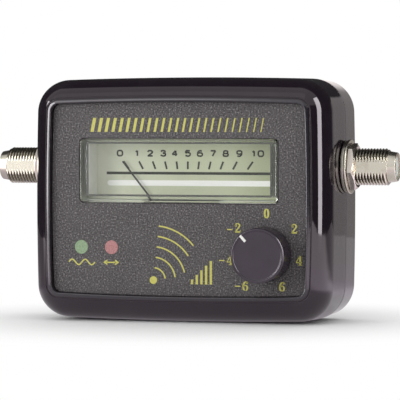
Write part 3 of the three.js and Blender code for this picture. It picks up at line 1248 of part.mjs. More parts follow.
function buildBuzzer() {
  return turned([
    [0, 0],
    [BUZZER_RADIUS, 0],
    [BUZZER_RADIUS, -BUZZER_HEIGHT],
    [BUZZER_PORT_RADIUS, -BUZZER_HEIGHT],
    [BUZZER_PORT_RADIUS, -BUZZER_HEIGHT + BUZZER_PORT_DEPTH],
    [0, -BUZZER_HEIGHT + BUZZER_PORT_DEPTH],
  ]);
}

function buildCapacitor() {
  const crimp = CAPACITOR_RADIUS - CAPACITOR_EDGE;
  return turned([
    [0, 0],
    [CAPACITOR_RADIUS, 0],
    [CAPACITOR_RADIUS, -CAPACITOR_HEIGHT + CAPACITOR_EDGE],
    [crimp, -CAPACITOR_HEIGHT],
    [0, -CAPACITOR_HEIGHT],
  ]);
}

function buildChip() {
  const body = block([-CHIP_WIDTH / 2, CHIP_WIDTH / 2], [-CHIP_HEIGHT, 0], [-CHIP_DEPTH / 2, CHIP_DEPTH / 2]);
  const notch = rod(CHIP_NOTCH_RADIUS, -CHIP_HEIGHT - CUT_OVERRUN, -CHIP_HEIGHT + CHIP_NOTCH_RADIUS,
    -CHIP_WIDTH / 2, 0);
  return cut(body, notch);
}

function buildTransistor() {
  const body = rod(TRANSISTOR_RADIUS, -TRANSISTOR_HEIGHT, 0, 0, 0, ROUND_SEGMENTS);
  const beyond = TRANSISTOR_RADIUS + CUT_OVERRUN;
  return cut(body, block(
    [-beyond, beyond],
    [-TRANSISTOR_HEIGHT - CUT_OVERRUN, CUT_OVERRUN],
    [TRANSISTOR_FLAT, beyond],
  ));
}

function buildChoke() {
  const waist = CHOKE_RADIUS - CHOKE_WAIST;
  return turned([
    [0, 0],
    [CHOKE_RADIUS, 0],
    [CHOKE_RADIUS, -CHOKE_FLANGE],
    [waist, -CHOKE_FLANGE],
    [waist, -CHOKE_HEIGHT + CHOKE_FLANGE],
    [CHOKE_RADIUS, -CHOKE_HEIGHT + CHOKE_FLANGE],
    [CHOKE_RADIUS, -CHOKE_HEIGHT],
    [0, -CHOKE_HEIGHT],
  ]);
}

function addBoardParts() {
  const parts = [
    ['buzzer', buildBuzzer(), BUZZER_X, BUZZER_Z, FINISH.blackPlastic],
    ['capacitor_left', buildCapacitor(), -CAPACITOR_X, CAPACITOR_Z, FINISH.sleeve],
    ['capacitor_right', buildCapacitor(), CAPACITOR_X, CAPACITOR_Z, FINISH.sleeve],
    ['amplifier_chip', buildChip(), CHIP_X, CHIP_Z, FINISH.blackPlastic],
    ['transistor', buildTransistor(), TRANSISTOR_X, TRANSISTOR_Z, FINISH.blackPlastic],
    ['radio_choke', buildChoke(), CHOKE_X, CHOKE_Z, FINISH.magnet],
  ];
  for (const [name, geometry, x, z, material] of parts) {
    addTo(subGroup(model, x, ON_BOARD_Y, z), name, geometry, material);
  }
}

// One coaxial socket, turned about y with its mouth towards +y
const WASHER_STACK_Y = SEAT_GAP + LOCK_WASHER_THICKNESS;
const SOCKET_NUT_Y = WASHER_STACK_Y + SEAT_GAP + FLAT_WASHER_THICKNESS + SEAT_GAP;
const SOCKET_NUT_FACE_Y = SOCKET_NUT_Y + SOCKET_NUT_THICKNESS;
const FLANGE_FACE_Y = -CASE_WALL - SOCKET_FLANGE_GAP;
const WASHER_BORE = THREAD_CREST_RADIUS + WASHER_BORE_CLEARANCE;
const INSULATOR_FACE_Y = SOCKET_REACH - INSULATOR_RECESS;

function buildSocketBarrel() {
  const turns = Math.floor((THREAD_END - SOCKET_NUT_FACE_Y) / THREAD_PITCH);
  const start = THREAD_END - turns * THREAD_PITCH;
  const thread = Array.from({ length: turns }, (unused, i) => [
    [THREAD_ROOT_RADIUS, start + i * THREAD_PITCH],
    [THREAD_CREST_RADIUS, start + (i + 1 / 2) * THREAD_PITCH],
  ]).flat();
  return turned([
    [SOCKET_BORE_RADIUS, SOCKET_REACH],
    [SOCKET_BORE_RADIUS, -SOCKET_TAIL],
    [SOCKET_TAIL_RADIUS, -SOCKET_TAIL],
    [SOCKET_TAIL_RADIUS, FLANGE_FACE_Y - SOCKET_FLANGE_THICKNESS],
    [SOCKET_FLANGE_RADIUS, FLANGE_FACE_Y - SOCKET_FLANGE_THICKNESS],
    [SOCKET_FLANGE_RADIUS, FLANGE_FACE_Y],
    [THREAD_CREST_RADIUS, FLANGE_FACE_Y],
    [THREAD_CREST_RADIUS, start - THREAD_PITCH / 2],
    ...thread,
    [THREAD_ROOT_RADIUS, THREAD_END],
    [NOSE_RADIUS, THREAD_END],
    [NOSE_TIP_RADIUS, SOCKET_REACH],
    [SOCKET_BORE_RADIUS, SOCKET_REACH],
  ], SOCKET_SEGMENTS);
}

function buildInsulator() {
  return ring(INSULATOR_BORE_RADIUS, SOCKET_BORE_RADIUS - SEAT_GAP, -SOCKET_TAIL, INSULATOR_FACE_Y,
    SOCKET_SEGMENTS);
}

function buildContact() {
  const front = INSULATOR_FACE_Y - CONTACT_RECESS;
  const back = -SOCKET_TAIL - CONTACT_TAIL;
  return turned([
    [0, back],
    [CONTACT_RADIUS, back],
    [CONTACT_RADIUS, front],
    [CONTACT_BORE_RADIUS, front],
    [CONTACT_BORE_RADIUS, front - CONTACT_BORE_DEPTH],
    [0, front - CONTACT_BORE_DEPTH],
  ], SMALL_ROUND_SEGMENTS);
}

function buildLockWasher() {
  const washer = ring(WASHER_BORE, LOCK_WASHER_RADIUS, SEAT_GAP, SEAT_GAP + LOCK_WASHER_THICKNESS,
    LARGE_ROUND_SEGMENTS);
  const half = LOCK_WASHER_SPLIT / 2;
  return cut(washer, block([-half, half], [-CUT_OVERRUN, WASHER_STACK_Y + CUT_OVERRUN],
    [0, LOCK_WASHER_RADIUS + CUT_OVERRUN]));
}

// A hexagonal nut whose outer corners are turned off
function buildSocketNut() {
  const corner = SOCKET_NUT_FLATS / 2 / Math.cos(Math.PI / 6);
  const chamfer = corner - SOCKET_NUT_FLATS / 2;
  const prism = plate(hexagon(SOCKET_NUT_FLATS, THREE.MathUtils.degToRad(SOCKET_NUT_TURN_DEG)),
    SOCKET_NUT_Y, SOCKET_NUT_FACE_Y, [circle(WASHER_BORE, SOCKET_SEGMENTS)]);
  const turnedOff = turned([
    [0, SOCKET_NUT_Y - CUT_OVERRUN],
    [corner + CUT_OVERRUN, SOCKET_NUT_Y - CUT_OVERRUN],
    [corner + CUT_OVERRUN, SOCKET_NUT_FACE_Y - chamfer],
    [SOCKET_NUT_FLATS / 2, SOCKET_NUT_FACE_Y + SEAT_GAP],
    [0, SOCKET_NUT_FACE_Y + SEAT_GAP],
  ], LARGE_ROUND_SEGMENTS);
  return common(prism, turnedOff);
}

function addSockets() {
  const flatWasherY = WASHER_STACK_Y + SEAT_GAP;
  for (const [side, sign] of [['left', -1], ['right', 1]]) {
    const socket = subGroup(model, sign * CASE_HALF_WIDTH, SOCKET_Y, SOCKET_Z);
    socket.rotation.z = -sign * Math.PI / 2;
    addTo(socket, `socket_barrel_${side}`, buildSocketBarrel(), FINISH.nickel);
    addTo(socket, `socket_insulator_${side}`, buildInsulator(), FINISH.insulator);
    addTo(socket, `socket_contact_${side}`, buildContact(), FINISH.brass);
    addTo(socket, `lock_washer_${side}`, buildLockWasher(), FINISH.nickel);
    addTo(socket, `flat_washer_${side}`,
      ring(WASHER_BORE, FLAT_WASHER_RADIUS, flatWasherY, flatWasherY + FLAT_WASHER_THICKNESS,
        LARGE_ROUND_SEGMENTS), FINISH.nickel);
    addTo(socket, `socket_nut_${side}`, buildSocketNut(), FINISH.nickel);
  }
}

addTo(model, 'front_shell', buildFrontShell(), FINISH.caseGloss);
addTo(model, 'rear_cover', buildRearCover(), FINISH.caseGloss);
addCaseScrews();
addLabelPanel();
addMeter();
addMovement();
addPotentiometer();
addLamps();
addBoard();
addBoardParts();
addSockets();

// Stand the case on z = 0, with its depth centred on y = 0
const caseFloor = Math.min(...pillow(CASE_OUTLINE).map((p) => p.y));
model.position.set(0, -(CASE_BACK_Y - KNOB_FRONT) / 2, -caseFloor);

const part = new THREE.Group();
part.add(model);
export default part;
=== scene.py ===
"""Satellite signal meter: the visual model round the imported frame.

Sizes are in millimetres on the drawing's own axes, whose origin is the middle of the label panel's
front face. One placing step brings the points into the frame's metres.
"""

from __future__ import annotations

import logging
import math
import sys
from collections.abc import Mapping, Sequence
from dataclasses import dataclass, field, replace
from enum import Enum
from typing import Any, Union

import bpy
import numpy as np
from mathutils import Matrix, Vector

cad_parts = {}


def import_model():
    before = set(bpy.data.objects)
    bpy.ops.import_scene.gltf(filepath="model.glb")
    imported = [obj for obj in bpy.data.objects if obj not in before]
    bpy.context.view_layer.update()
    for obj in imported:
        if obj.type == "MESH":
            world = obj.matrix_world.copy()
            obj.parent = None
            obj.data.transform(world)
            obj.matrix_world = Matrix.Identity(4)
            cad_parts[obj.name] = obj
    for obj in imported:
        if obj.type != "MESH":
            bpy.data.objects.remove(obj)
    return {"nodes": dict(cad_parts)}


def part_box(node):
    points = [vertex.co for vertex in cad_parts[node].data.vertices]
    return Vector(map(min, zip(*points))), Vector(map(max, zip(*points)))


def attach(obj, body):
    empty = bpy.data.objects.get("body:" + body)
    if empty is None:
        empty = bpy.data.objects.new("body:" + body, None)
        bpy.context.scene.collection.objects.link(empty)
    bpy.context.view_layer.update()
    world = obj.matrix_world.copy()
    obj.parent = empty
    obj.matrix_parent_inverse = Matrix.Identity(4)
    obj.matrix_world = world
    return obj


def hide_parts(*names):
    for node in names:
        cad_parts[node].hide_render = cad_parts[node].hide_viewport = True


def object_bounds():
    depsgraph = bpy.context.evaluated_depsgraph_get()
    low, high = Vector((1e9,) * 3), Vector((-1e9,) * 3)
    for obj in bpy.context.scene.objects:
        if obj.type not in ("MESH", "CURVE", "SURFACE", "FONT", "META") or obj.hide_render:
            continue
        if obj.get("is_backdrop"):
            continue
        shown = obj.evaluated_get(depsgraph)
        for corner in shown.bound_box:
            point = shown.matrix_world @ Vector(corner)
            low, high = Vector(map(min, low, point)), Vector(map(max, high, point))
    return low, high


frame: dict[str, Any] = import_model()

LOG = logging.getLogger("signal_meter")
MM = 0.001
TURN = 2 * math.pi
QUARTER = math.pi / 2
OVERRUN = 1.0  # how far a cutter reaches past what it cuts
PRINT_BACK = 0.004  # how far a printed mark sinks into its ground
FEATHER = 0.01  # keeps a division or a corner away from 0

Points = np.ndarray
Pair = tuple[float, float]
Triple = tuple[float, float, float]
Colour = Triple
Knots = Sequence[Sequence[float]]
Strokes = tuple[tuple[Knots, float, float], ...]
Value = Union["Signal", float, Sequence[float]]


# Shapes


@dataclass
class Part:
    """One or more closed surfaces: points, quads, triangles and flat faces of many corners."""

    points: Points
    quads: Points = field(default_factory=lambda: np.zeros((0, 4), int))
    triangles: Points = field(default_factory=lambda: np.zeros((0, 3), int))
    caps: list[Points] = field(default_factory=list)

    def volume(self) -> float:
        """Signed volume: a sixth of the sum of a . (b x c) over the triangles of every face.

        Returns:
            The volume, less than 0 where the faces point inwards.
        """
        fans = [np.column_stack([np.full(len(c) - 2, c[0]), c[1:-1], c[2:]]) for c in self.caps]
        corners = np.concatenate(
            [self.quads[:, [0, 1, 2]], self.quads[:, [0, 2, 3]], self.triangles, *fans]
        )
        a, b, c = (self.points[corners[:, i]] for i in range(3))
        return float(np.einsum("ij,ij->i", a, np.cross(b, c)).sum()) / 6

    def outward(self) -> Part:
        """The same closed surface with its faces pointing outwards."""
        if self.volume() >= 0:
            return self
        return Part(
            self.points,
            self.quads[:, ::-1],
            self.triangles[:, ::-1],
            [cap[::-1] for cap in self.caps],
        )

    def moved(self, offset: Sequence[float], turn: Points | None = None) -> Part:
        """The part turned by a 3 x 3 matrix, if one is given, and then shifted by an offset."""
        points = self.points if turn is None else self.points @ np.asarray(turn).T
        return Part(points + np.asarray(offset), self.quads, self.triangles, self.caps).outward()


def joined(parts: Sequence[Part]) -> Part:
    """Several closed surfaces as one part, each with its faces pointing outwards.

    Args:
        parts: The closed surfaces.

    Returns:
        All of them together.
    """
    ready = [part.outward() for part in parts]
    starts = np.cumsum([0] + [len(part.points) for part in ready])
    pairs = list(zip(ready, starts))
    return Part(
        np.concatenate([part.points for part in ready]),
        np.concatenate([part.quads + start for part, start in pairs]),
        np.concatenate([part.triangles + start for part, start in pairs]),
        [cap + start for part, start in pairs for cap in part.caps],
    )


def grid_quads(rows: int, columns: int, wrap_rows: bool) -> Points:
    """Quads of a grid of closed rows whose point (i, j) has the index i * columns + j.

    Args:
        rows: Number of rows.
        columns: Number of points in each row.
        wrap_rows: Whether the last row joins the first.

    Returns:
        One row of four point indices for each quad.
    """
    i = np.arange(rows if wrap_rows else rows - 1)[:, None]
    j = np.arange(columns)[None, :]
    below, beside = (i + 1) % rows, (j + 1) % columns
    corners = (
        i * columns + j, i * columns + beside, below * columns + beside, below * columns + j
    )
    return np.stack(np.broadcast_arrays(*corners), axis=-1).reshape(-1, 4)


def at_depth(path: Points, y: float) -> Points:
    """Rows of (x, z) as points at a depth."""
    return np.column_stack([path[:, 0], np.full(len(path), y), path[:, 1]])


def loft(rings: Points, wrap_rows: bool = False) -> Part:
    """A closed surface over a stack of closed rings, with flat ends or joined back to its start.

    Args:
        rings: Array of rings, points and coordinates.
        wrap_rows: Whether the last ring joins the first instead of both being filled in.

    Returns:
        The surface, its faces pointing outwards.
    """
    rows, columns = rings.shape[:2]
    points = rings.reshape(-1, 3)
    quads = grid_quads(rows, columns, wrap_rows)
    first = np.arange(columns)
    caps = [] if wrap_rows else [first[::-1], first + (rows - 1) * columns]
    return Part(points, quads, caps=caps).outward()


def rounding(steps: int) -> Points:
    """Rows of (1 - cos a, 1 - sin a) as a goes from 0 to a quarter turn, for a rounded edge."""
    a = np.linspace(0, QUARTER, steps)
    return np.column_stack([1 - np.cos(a), 1 - np.sin(a)])


def softened(corners: Knots, loop: bool = False, steps: int = 3) -> Points:
    """A profile with rounded corners.

    A corner (a, b, r) is left a distance r short on both sides, and a quadratic curve that has the
    corner as its middle control point joins the two. A short straight stretch on either side keeps
    the faces beside it flat.

    Args:
        corners: The corners, each with its rounding last; a rounding of 0 leaves it sharp.
        loop: Whether the profile closes on itself.
        steps: Straight pieces in each rounding.

    Returns:
        Array of (a, b).
    """
    stretch = 1.2
    data = np.asarray(corners, float)
    out: list[Points] = []
    last = len(data) - 1
    t = np.linspace(0, 1, steps + 1)[:, None]
    for k, (a, b, radius) in enumerate(data):
        corner = np.array([a, b])
        if radius == 0 or (not loop and k in (0, last)):
            out.append(corner[None])
            continue
        before = data[k - 1, :2] - corner
        after = data[(k + 1) % len(data), :2] - corner
        before = before / np.hypot(*before)
        after = after / np.hypot(*after)
        curve = (1 - t) ** 2 * (corner + before * radius) + 2 * t * (1 - t) * corner
        curve = curve + t**2 * (corner + after * radius)
        lead = corner + before * radius * stretch
        tail = corner + after * radius * stretch
        out.append(np.vstack([lead, curve, tail]))
    return np.vstack(out)


def wheeled(radius: Points, along: Points, angles: Points) -> Points:
    """Points (r sin t, a, r cos t) at radii r, places a along the y axis and angles t."""
    return np.stack(
        [radius * np.sin(angles), along + 0 * angles, radius * np.cos(angles)], axis=-1
    )


def turned(profile: Points, segments: int, loop: bool = False) -> Part:
    """A solid of revolution round the y axis.

    The point at (r, a) on the profile and at angle t goes to (r sin t, a, r cos t).

    Args:
        profile: Rows of (radius, place along the axis). A radius of 0 is only at an end.
        segments: Points round the axis.
        loop: Whether the profile closes on itself, as a washer's does.

    Returns:
        The closed surface.
    """
    profile = np.asarray(profile, float)
    angles = np.arange(segments) * TURN / segments
    poles: list[float | None] = [None, None]
    if not loop:
        for end, (row, beside) in enumerate(((0, 1), (-1, -2))):
            if profile[row, 0] == 0 and profile[row, 1] != profile[beside, 1]:
                poles[end] = float(profile[row, 1])
        profile = profile[profile[:, 0] > 0]
    rings = wheeled(profile[:, :1], profile[:, 1:], angles)
    if loop or poles == [None, None]:
        return loft(rings, wrap_rows=loop)
    points, triangles, caps = [rings.reshape(-1, 3)], [], []
    around = np.arange(segments)
    rows = len(profile)
    for end, pole in enumerate(poles):
        base = around + (rows - 1) * segments * end
        if pole is None:
            caps.append(base[::-1] if end == 0 else base)
            continue
        index = rows * segments + len(points) - 1
        points.append(np.array([[0.0, pole, 0.0]]))
        pair = (base, np.roll(base, -1)) if end else (np.roll(base, -1), base)
        triangles.append(np.column_stack([*pair, np.full(segments, index)]))
    quads = grid_quads(rows, segments, False)
    return Part(np.concatenate(points), quads, np.concatenate(triangles), caps).outward()


@dataclass(frozen=True)
class Pillow:
    """A rounded rectangle whose sides swell outwards.

    Each side is an arc with its swell as the sagitta, and each corner an arc that touches both.
    """

    half_width: float
    half_height: float
    side_bow: float
    top_bow: float
    corner: float
    centre_z: float = 0.0

    def inset(self, wall: float) -> Pillow:
        """The outline drawn in by a wall."""
        return replace(
            self,
            half_width=self.half_width - wall,
            half_height=self.half_height - wall,
            corner=self.corner - wall,
        )

    def towards(self, other: Pillow, share: float) -> Pillow:
        """The outline a share of the way to another one."""
        mixed = {
            name: getattr(self, name) + (getattr(other, name) - getattr(self, name)) * share
            for name in self.__dataclass_fields__
        }
        return Pillow(**mixed)

    def ring(self, y: float, steps: tuple[int, int, int] = (8, 14, 8)) -> Points:
        """The outline's points at a depth.

        A quarter of it is worked out, from the middle of the right side over the corner to the
        middle of the top, and mirrored three times.

        Args:
            y: Depth behind the panel's front.
            steps: Straight pieces in half a side, in a corner and in half the top.

        Returns:
            Array of points, anticlockwise seen from the front.
        """
        w, h, sb, tb = self.half_width, self.half_height, self.side_bow, self.top_bow
        side_radius = (h * h + sb * sb) / (2 * sb)
        top_radius = (w * w + tb * tb) / (2 * tb)
        side_centre, top_centre = w - side_radius, h - top_radius
        a, b = side_radius - self.corner, top_radius - self.corner
        apart = math.hypot(side_centre, top_centre)
        along = (a * a - b * b + apart * apart) / (2 * apart)
        across = math.sqrt(a * a - along * along)
        ux, uz = -side_centre / apart, top_centre / apart
        corner_x = side_centre + along * ux - across * uz
        corner_z = along * uz + across * ux
        side_angle = math.atan2(corner_z, corner_x - side_centre)
        top_angle = math.atan2(corner_z - top_centre, corner_x)
        arcs = (
            (side_centre, 0.0, side_radius, 0.0, side_angle),
            (corner_x, corner_z, self.corner, side_angle, top_angle),
            (0.0, top_centre, top_radius, top_angle, QUARTER),
        )
        quarter = [
            np.column_stack([cx + r * np.cos(t), cz + r * np.sin(t)])
            for (cx, cz, r, start, end), count in zip(arcs, steps)
            for t in [np.linspace(start, end, count, endpoint=False)]
        ]
        return mirrored_ring(np.vstack([*quarter, [[0.0, h]]]), y, self.centre_z)


def mirrored_ring(quarter: Points, y: float, centre_z: float) -> Points:
    """A closed ring out of its first quarter, mirrored left to right and top to bottom.

    Args:
        quarter: Rows of (x, z) from the x axis to the z axis, both ends included.
        y: Depth of the ring.
        centre_z: Height of the ring's middle.

    Returns:
        Array of points.
    """
    back = quarter[::-1]
    flat = np.vstack(
        [quarter[:-1], back[:-1] * (-1, 1), quarter[:-1] * (-1, -1), back[:-1] * (1, -1)]
    )
    return at_depth(flat + (0, centre_z), y)


@dataclass(frozen=True)
class Box:
    """A rectangle seen from the front, with rounded corners."""

    half_width: float
    low_z: float
    high_z: float
    corner: float
    least_corner: float = 0.05

    def grown(self, margin: float) -> Box:
        """The rectangle with a margin all round."""
        return Box(
            self.half_width + margin,
            self.low_z - margin,
            self.high_z + margin,
            max(self.corner + margin, self.least_corner),
        )

    def ring(self, y: float, steps: int = 6) -> Points:
        """The outline's points at a depth: a quarter with an arc at its corner, mirrored.

        Args:
            y: Depth behind the panel's front.
            steps: Straight pieces in each corner.

        Returns:
            Array of points.
        """
        half_height = (self.high_z - self.low_z) / 2
        t = np.linspace(0, QUARTER, steps + 1)
        arc = np.column_stack([
            self.half_width - self.corner * (1 - np.cos(t)),
            half_height - self.corner * (1 - np.sin(t)),
        ])
        quarter = np.vstack([[[self.half_width, 0.0]], arc, [[0.0, half_height]]])
        return mirrored_ring(quarter, y, (self.low_z + self.high_z) / 2)


def rod(radius: float, front: float, back: float, x: float, z: float, segments: int = 48) -> Part:
    """A plain round rod from one depth to another, used for bosses and holes."""
    return turned(np.array([[radius, front], [radius, back]]), segments).moved((x, 0, z))


def slab(outline: Points, front: float, back: float) -> Part:
    """A flat outline of (x, z) carried from one depth to another."""
    return loft(np.stack([at_depth(outline, front), at_depth(outline, back)]))


def bar(low: Sequence[float], high: Sequence[float]) -> Part:
    """A plain block between two corners."""
    (x0, y0, z0), (x1, y1, z1) = low, high
    return slab(np.array([(x0, z0), (x1, z0), (x1, z1), (x0, z1)]), y0, y1)


def sideways(sign: int) -> Points:
    """Matrix that lays the y axis along x, to the right for 1 and to the left for -1."""
    return np.array([[0, sign, 0], [-sign, 0, 0], [0, 0, 1]])


def opening(outline: Pillow | Box, front: float, back: float) -> Part:
    """A cutter with an outline, from one depth to another."""
    return loft(np.stack([outline.ring(front), outline.ring(back)]))


# Flat graphics


@dataclass(frozen=True)
class Layer:
    """The thin closed layer that a printed mark makes on a surface facing the front."""

    front: float
    back: float

    def strip(self, left: Points, right: Points, loop: bool = False) -> Part:
        """A mark between two borders.

        Args:
            left: Rows of (x, z) along one border.
            right: The same along the other.
            loop: Whether the strip closes on itself.

        Returns:
            The closed slab.
        """
        corners = ((left, self.front), (right, self.front), (right, self.back), (left, self.back))
        rings = np.stack([at_depth(edge, y) for edge, y in corners], axis=1)
        return loft(rings, wrap_rows=loop)

    def stroke(self, path: Points, broad: float, fine: float, loop: bool = False) -> Part:
        """A pen stroke along a path.

        The pen is an ellipse of the two widths. At a point with the path's normal (nx, nz), the
        border is (broad^2 nx, fine^2 nz) / sqrt(broad^2 nx^2 + fine^2 nz^2) / 2 from the path.

        Args:
            path: Rows of (x, z).
            broad: Width of an upright stroke.
            fine: Width of a level stroke.
            loop: Whether the path closes on itself.

        Returns:
            The closed slab.
        """
        if loop:
            tangent = np.roll(path, -1, axis=0) - np.roll(path, 1, axis=0)
        else:
            tangent = np.gradient(path, axis=0)
        normal = np.column_stack([-tangent[:, 1], tangent[:, 0]])
        normal /= np.linalg.norm(normal, axis=1)[:, None]
        size = np.array([broad, fine])
        reach = np.linalg.norm(normal * size, axis=1)[:, None]
        offset = normal * size**2 / reach / 2
        return self.strip(path + offset, path - offset, loop)

    def disc(self, x: float, z: float, radius: float, segments: int = 32) -> Part:
        """A round mark."""
        return rod(radius, self.front, self.back, x, z, segments)


def smooth_path(knots: Knots, steps: int = 9) -> Points:
    """A smooth curve through knots.

    Between two knots p1 and p2 with neighbours p0 and p3 it is the cubic that leaves p1 along
    (p2 - p0) / 2 and reaches p2 along (p3 - p1) / 2.

    Args:
        knots: Rows of (x, z).
        steps: Straight pieces between two knots.

    Returns:
        Array of (x, z).
    """
    p = np.asarray(knots, float)
    p = np.vstack([2 * p[0] - p[1], p, 2 * p[-1] - p[-2]])
    t = np.linspace(0, 1, steps, endpoint=False)[None, :, None]
    p0, p1, p2, p3 = (p[i : len(p) - 3 + i, None, :] for i in range(4))
    curve = p1 + t * (p2 - p0) / 2
    curve = curve + t**2 * (p0 - 2.5 * p1 + 2 * p2 - p3 / 2)
    curve = curve + t**3 * (-p0 / 2 + 1.5 * p1 - 1.5 * p2 + p3 / 2)
    return np.vstack([curve.reshape(-1, 2), p[-2]])


# Shader graphs


class Signal:
    """A value that runs between shader nodes. Arithmetic on it adds Math nodes."""

    def __init__(self, graph: Graph, socket: bpy.types.NodeSocket) -> None:
        """Wraps one output socket of a graph."""
        self.graph = graph
        self.socket = socket

    def _math(self, operation: str, *values: Value, clamp: bool = False) -> Signal:
        """A Math node on some values."""
        return self.graph.add(
            "ShaderNodeMath",
            {"operation": operation, "use_clamp": clamp},
            dict(enumerate(values)),
        )

    def __add__(self, other: Value) -> Signal:
        """Sum."""
        return self._math("ADD", self, other)

    __radd__ = __add__

    def __sub__(self, other: Value) -> Signal:
        """Difference."""
        return self._math("SUBTRACT", self, other)

    def __rsub__(self, other: Value) -> Signal:
        """Difference from a number."""
        return self._math("SUBTRACT", other, self)

    def __mul__(self, other: Value) -> Signal:
        """Product."""
        return self._math("MULTIPLY", self, other)

    __rmul__ = __mul__

    def __pow__(self, other: Value) -> Signal:
        """Power."""
        return self._math("POWER", self, other)

    def clamped(self) -> Signal:
        """The value held between 0 and 1."""
        return self._math("ADD", self, 0.0, clamp=True)

    def over(self, level: float) -> Signal:
        """1 where the value is greater than a level, otherwise 0."""
        return self._math("GREATER_THAN", self, level)

    def most(self, other: Value) -> Signal:
        """The greater of two values."""
        return self._math("MAXIMUM", self, other)

    def sine(self) -> Signal:
        """Sine of the value in radians."""
        return self._math("SINE", self)

    def root(self) -> Signal:
        """Square root."""
        return self._math("SQRT", self)

    def step(self, start: float, end: float) -> Signal:
        """A smooth step that is 0 at start and 1 at end."""
        return self.graph.add(
            "ShaderNodeMapRange",
            {"interpolation_type": "SMOOTHSTEP"},
            {0: self, 1: start, 2: end, 3: 0.0, 4: 1.0},
        )


class Graph:
    """The node tree of one material or of the world."""

    def __init__(self, tree: bpy.types.NodeTree) -> None:
        """Starts with an empty tree."""
        tree.nodes.clear()
        self.tree = tree

    def add(
        self,
        kind: str,
        settings: Mapping[str, Any] | None = None,
        values: Mapping[int | str, Value] | None = None,
        output: int | str = 0,
    ) -> Signal:
        """Adds a node.

        Args:
            kind: The node's type.
            settings: Its settings, set first.
            values: Numbers, colours or signals for its inputs.
            output: Which of its outputs is wanted.

        Returns:
            That output, or for an output node its first input.
        """
        node = self.tree.nodes.new(kind)
        for name, setting in (settings or {}).items():
            setattr(node, name, setting)
        for name, value in (values or {}).items():
            if isinstance(value, Signal):
                self.tree.links.new(value.socket, node.inputs[name])
            else:
                node.inputs[name].default_value = value
        return Signal(self, node.outputs[output] if len(node.outputs) else node.inputs[0])

    def ray(self, kind: str) -> Signal:
        """1 for a kind of ray, such as Camera or Glossy, otherwise 0."""
        return self.add("ShaderNodeLightPath", output=f"Is {kind} Ray")

    def split(self, vector: Signal) -> tuple[Signal, Signal, Signal]:
        """The three coordinates of a vector."""
        outputs = self.add("ShaderNodeSeparateXYZ", values={0: vector}).socket.node.outputs
        return Signal(self, outputs[0]), Signal(self, outputs[1]), Signal(self, outputs[2])

    def merged(self, x: Value, y: Value, z: Value) -> Signal:
        """A vector of three coordinates."""
        return self.add("ShaderNodeCombineXYZ", values={0: x, 1: y, 2: z})

    def drawing_point(self) -> Signal:
        """The shaded point on the drawing's axes, in millimetres."""
        place = {0: self.add("ShaderNodeTexCoord", output="Object"), 1: DATUM.origin}
        return self.times(
            self.add("ShaderNodeVectorMath", {"operation": "SUBTRACT"}, place), 1 / MM
        )

    def times(self, vector: Signal, factor: Value) -> Signal:
        """A vector or colour multiplied by one number."""
        return self.add(
            "ShaderNodeVectorMath", {"operation": "SCALE"}, {0: vector, "Scale": factor}
        )

    def scaled(self, vector: Signal, factors: Colour) -> Signal:
        """A vector with each coordinate multiplied by a factor of its own."""
        return self.add("ShaderNodeVectorMath", {"operation": "MULTIPLY"}, {0: vector, 1: factors})

    def noise(
        self, vector: Signal, scale: float, detail: float = 2.0, roughness: float = 0.5
    ) -> Signal:
        """Cloudy noise from 0 to 1 with so many lumps to a millimetre."""
        return self.add(
            "ShaderNodeTexNoise",
            values={
                "Vector": vector, "Scale": scale, "Detail": detail, "Roughness": roughness
            },
        )

    def specks(self, vector: Signal, scale: float, radius: float, share: float) -> Signal:
        """Round specks: a share of the cells of a random grid has one, 1 inside and 0 outside.

        Args:
            vector: The point.
            scale: Cells to a millimetre.
            radius: Size of a speck, in cells.
            share: Share of the cells that have one.

        Returns:
            The mask.
        """
        near = self.add("ShaderNodeTexVoronoi", values={"Vector": vector, "Scale": scale})
        random = self.split(Signal(self, near.socket.node.outputs["Color"]))[0]
        return near.step(radius, radius * 0.5) * random.over(1 - share)

    def mix(self, mask: Value, first: Value, second: Value) -> Signal:
        """A colour between two, the first where the mask is 0."""
        return self.add(
            "ShaderNodeMix",
            {"data_type": "RGBA"},
            {0: mask, 6: opaque(first), 7: opaque(second)},
            output=2,
        )

    def bump(self, height: Signal, depth: float) -> Signal:
        """A normal bent by a height map whose range of 1 stands for a depth in millimetres."""
        return self.add(
            "ShaderNodeBump", values={"Strength": 1.0, "Distance": depth * MM, "Height": height}
        )

    def principled(self, values: Mapping[str, Value]) -> Signal:
        """The main shader with some of its sockets set or linked."""
        ready = {
            name: opaque(value) if "Color" in name or "Tint" in name else value
            for name, value in values.items()
        }
        return self.add("ShaderNodeBsdfPrincipled", values=ready)


def opaque(value: Value) -> Value:
    """A colour with its alpha, or a signal as it is."""
    if isinstance(value, Signal) or len(value) == 4:
        return value
    return (*value, 1.0)


@dataclass(frozen=True)
class Datum:
    """Where the drawing's origin lies in the frame, in metres."""

    origin: Triple

    @classmethod
    def from_panel(cls) -> Datum:
        """The datum at the middle of the label panel's front face."""
        low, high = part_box("label_panel")
        return cls(((low.x + high.x) / 2, low.y, (low.z + high.z) / 2))

    def placed(self, points: Points) -> Points:
        """Drawing points in millimetres as frame points in metres."""
        return points * MM + np.asarray(self.origin)


DATUM = Datum.from_panel()


# Finishes


@dataclass(frozen=True)
class Finish:
    """A surface finish; each kind shades itself."""

    name: str

    def shader(self, graph: Graph) -> Signal:
        """Builds the finish's nodes."""
        raise NotImplementedError

    def material(self) -> bpy.types.Material:
        """The finish's material, made once.

        Returns:
            The material.
        """
        known = bpy.data.materials.get(self.name)
        if known is not None:
            return known
        material = bpy.data.materials.new(self.name)
        material.use_nodes = True
        graph = Graph(material.node_tree)
        graph.add("ShaderNodeOutputMaterial", values={"Surface": self.shader(graph)})
        return material


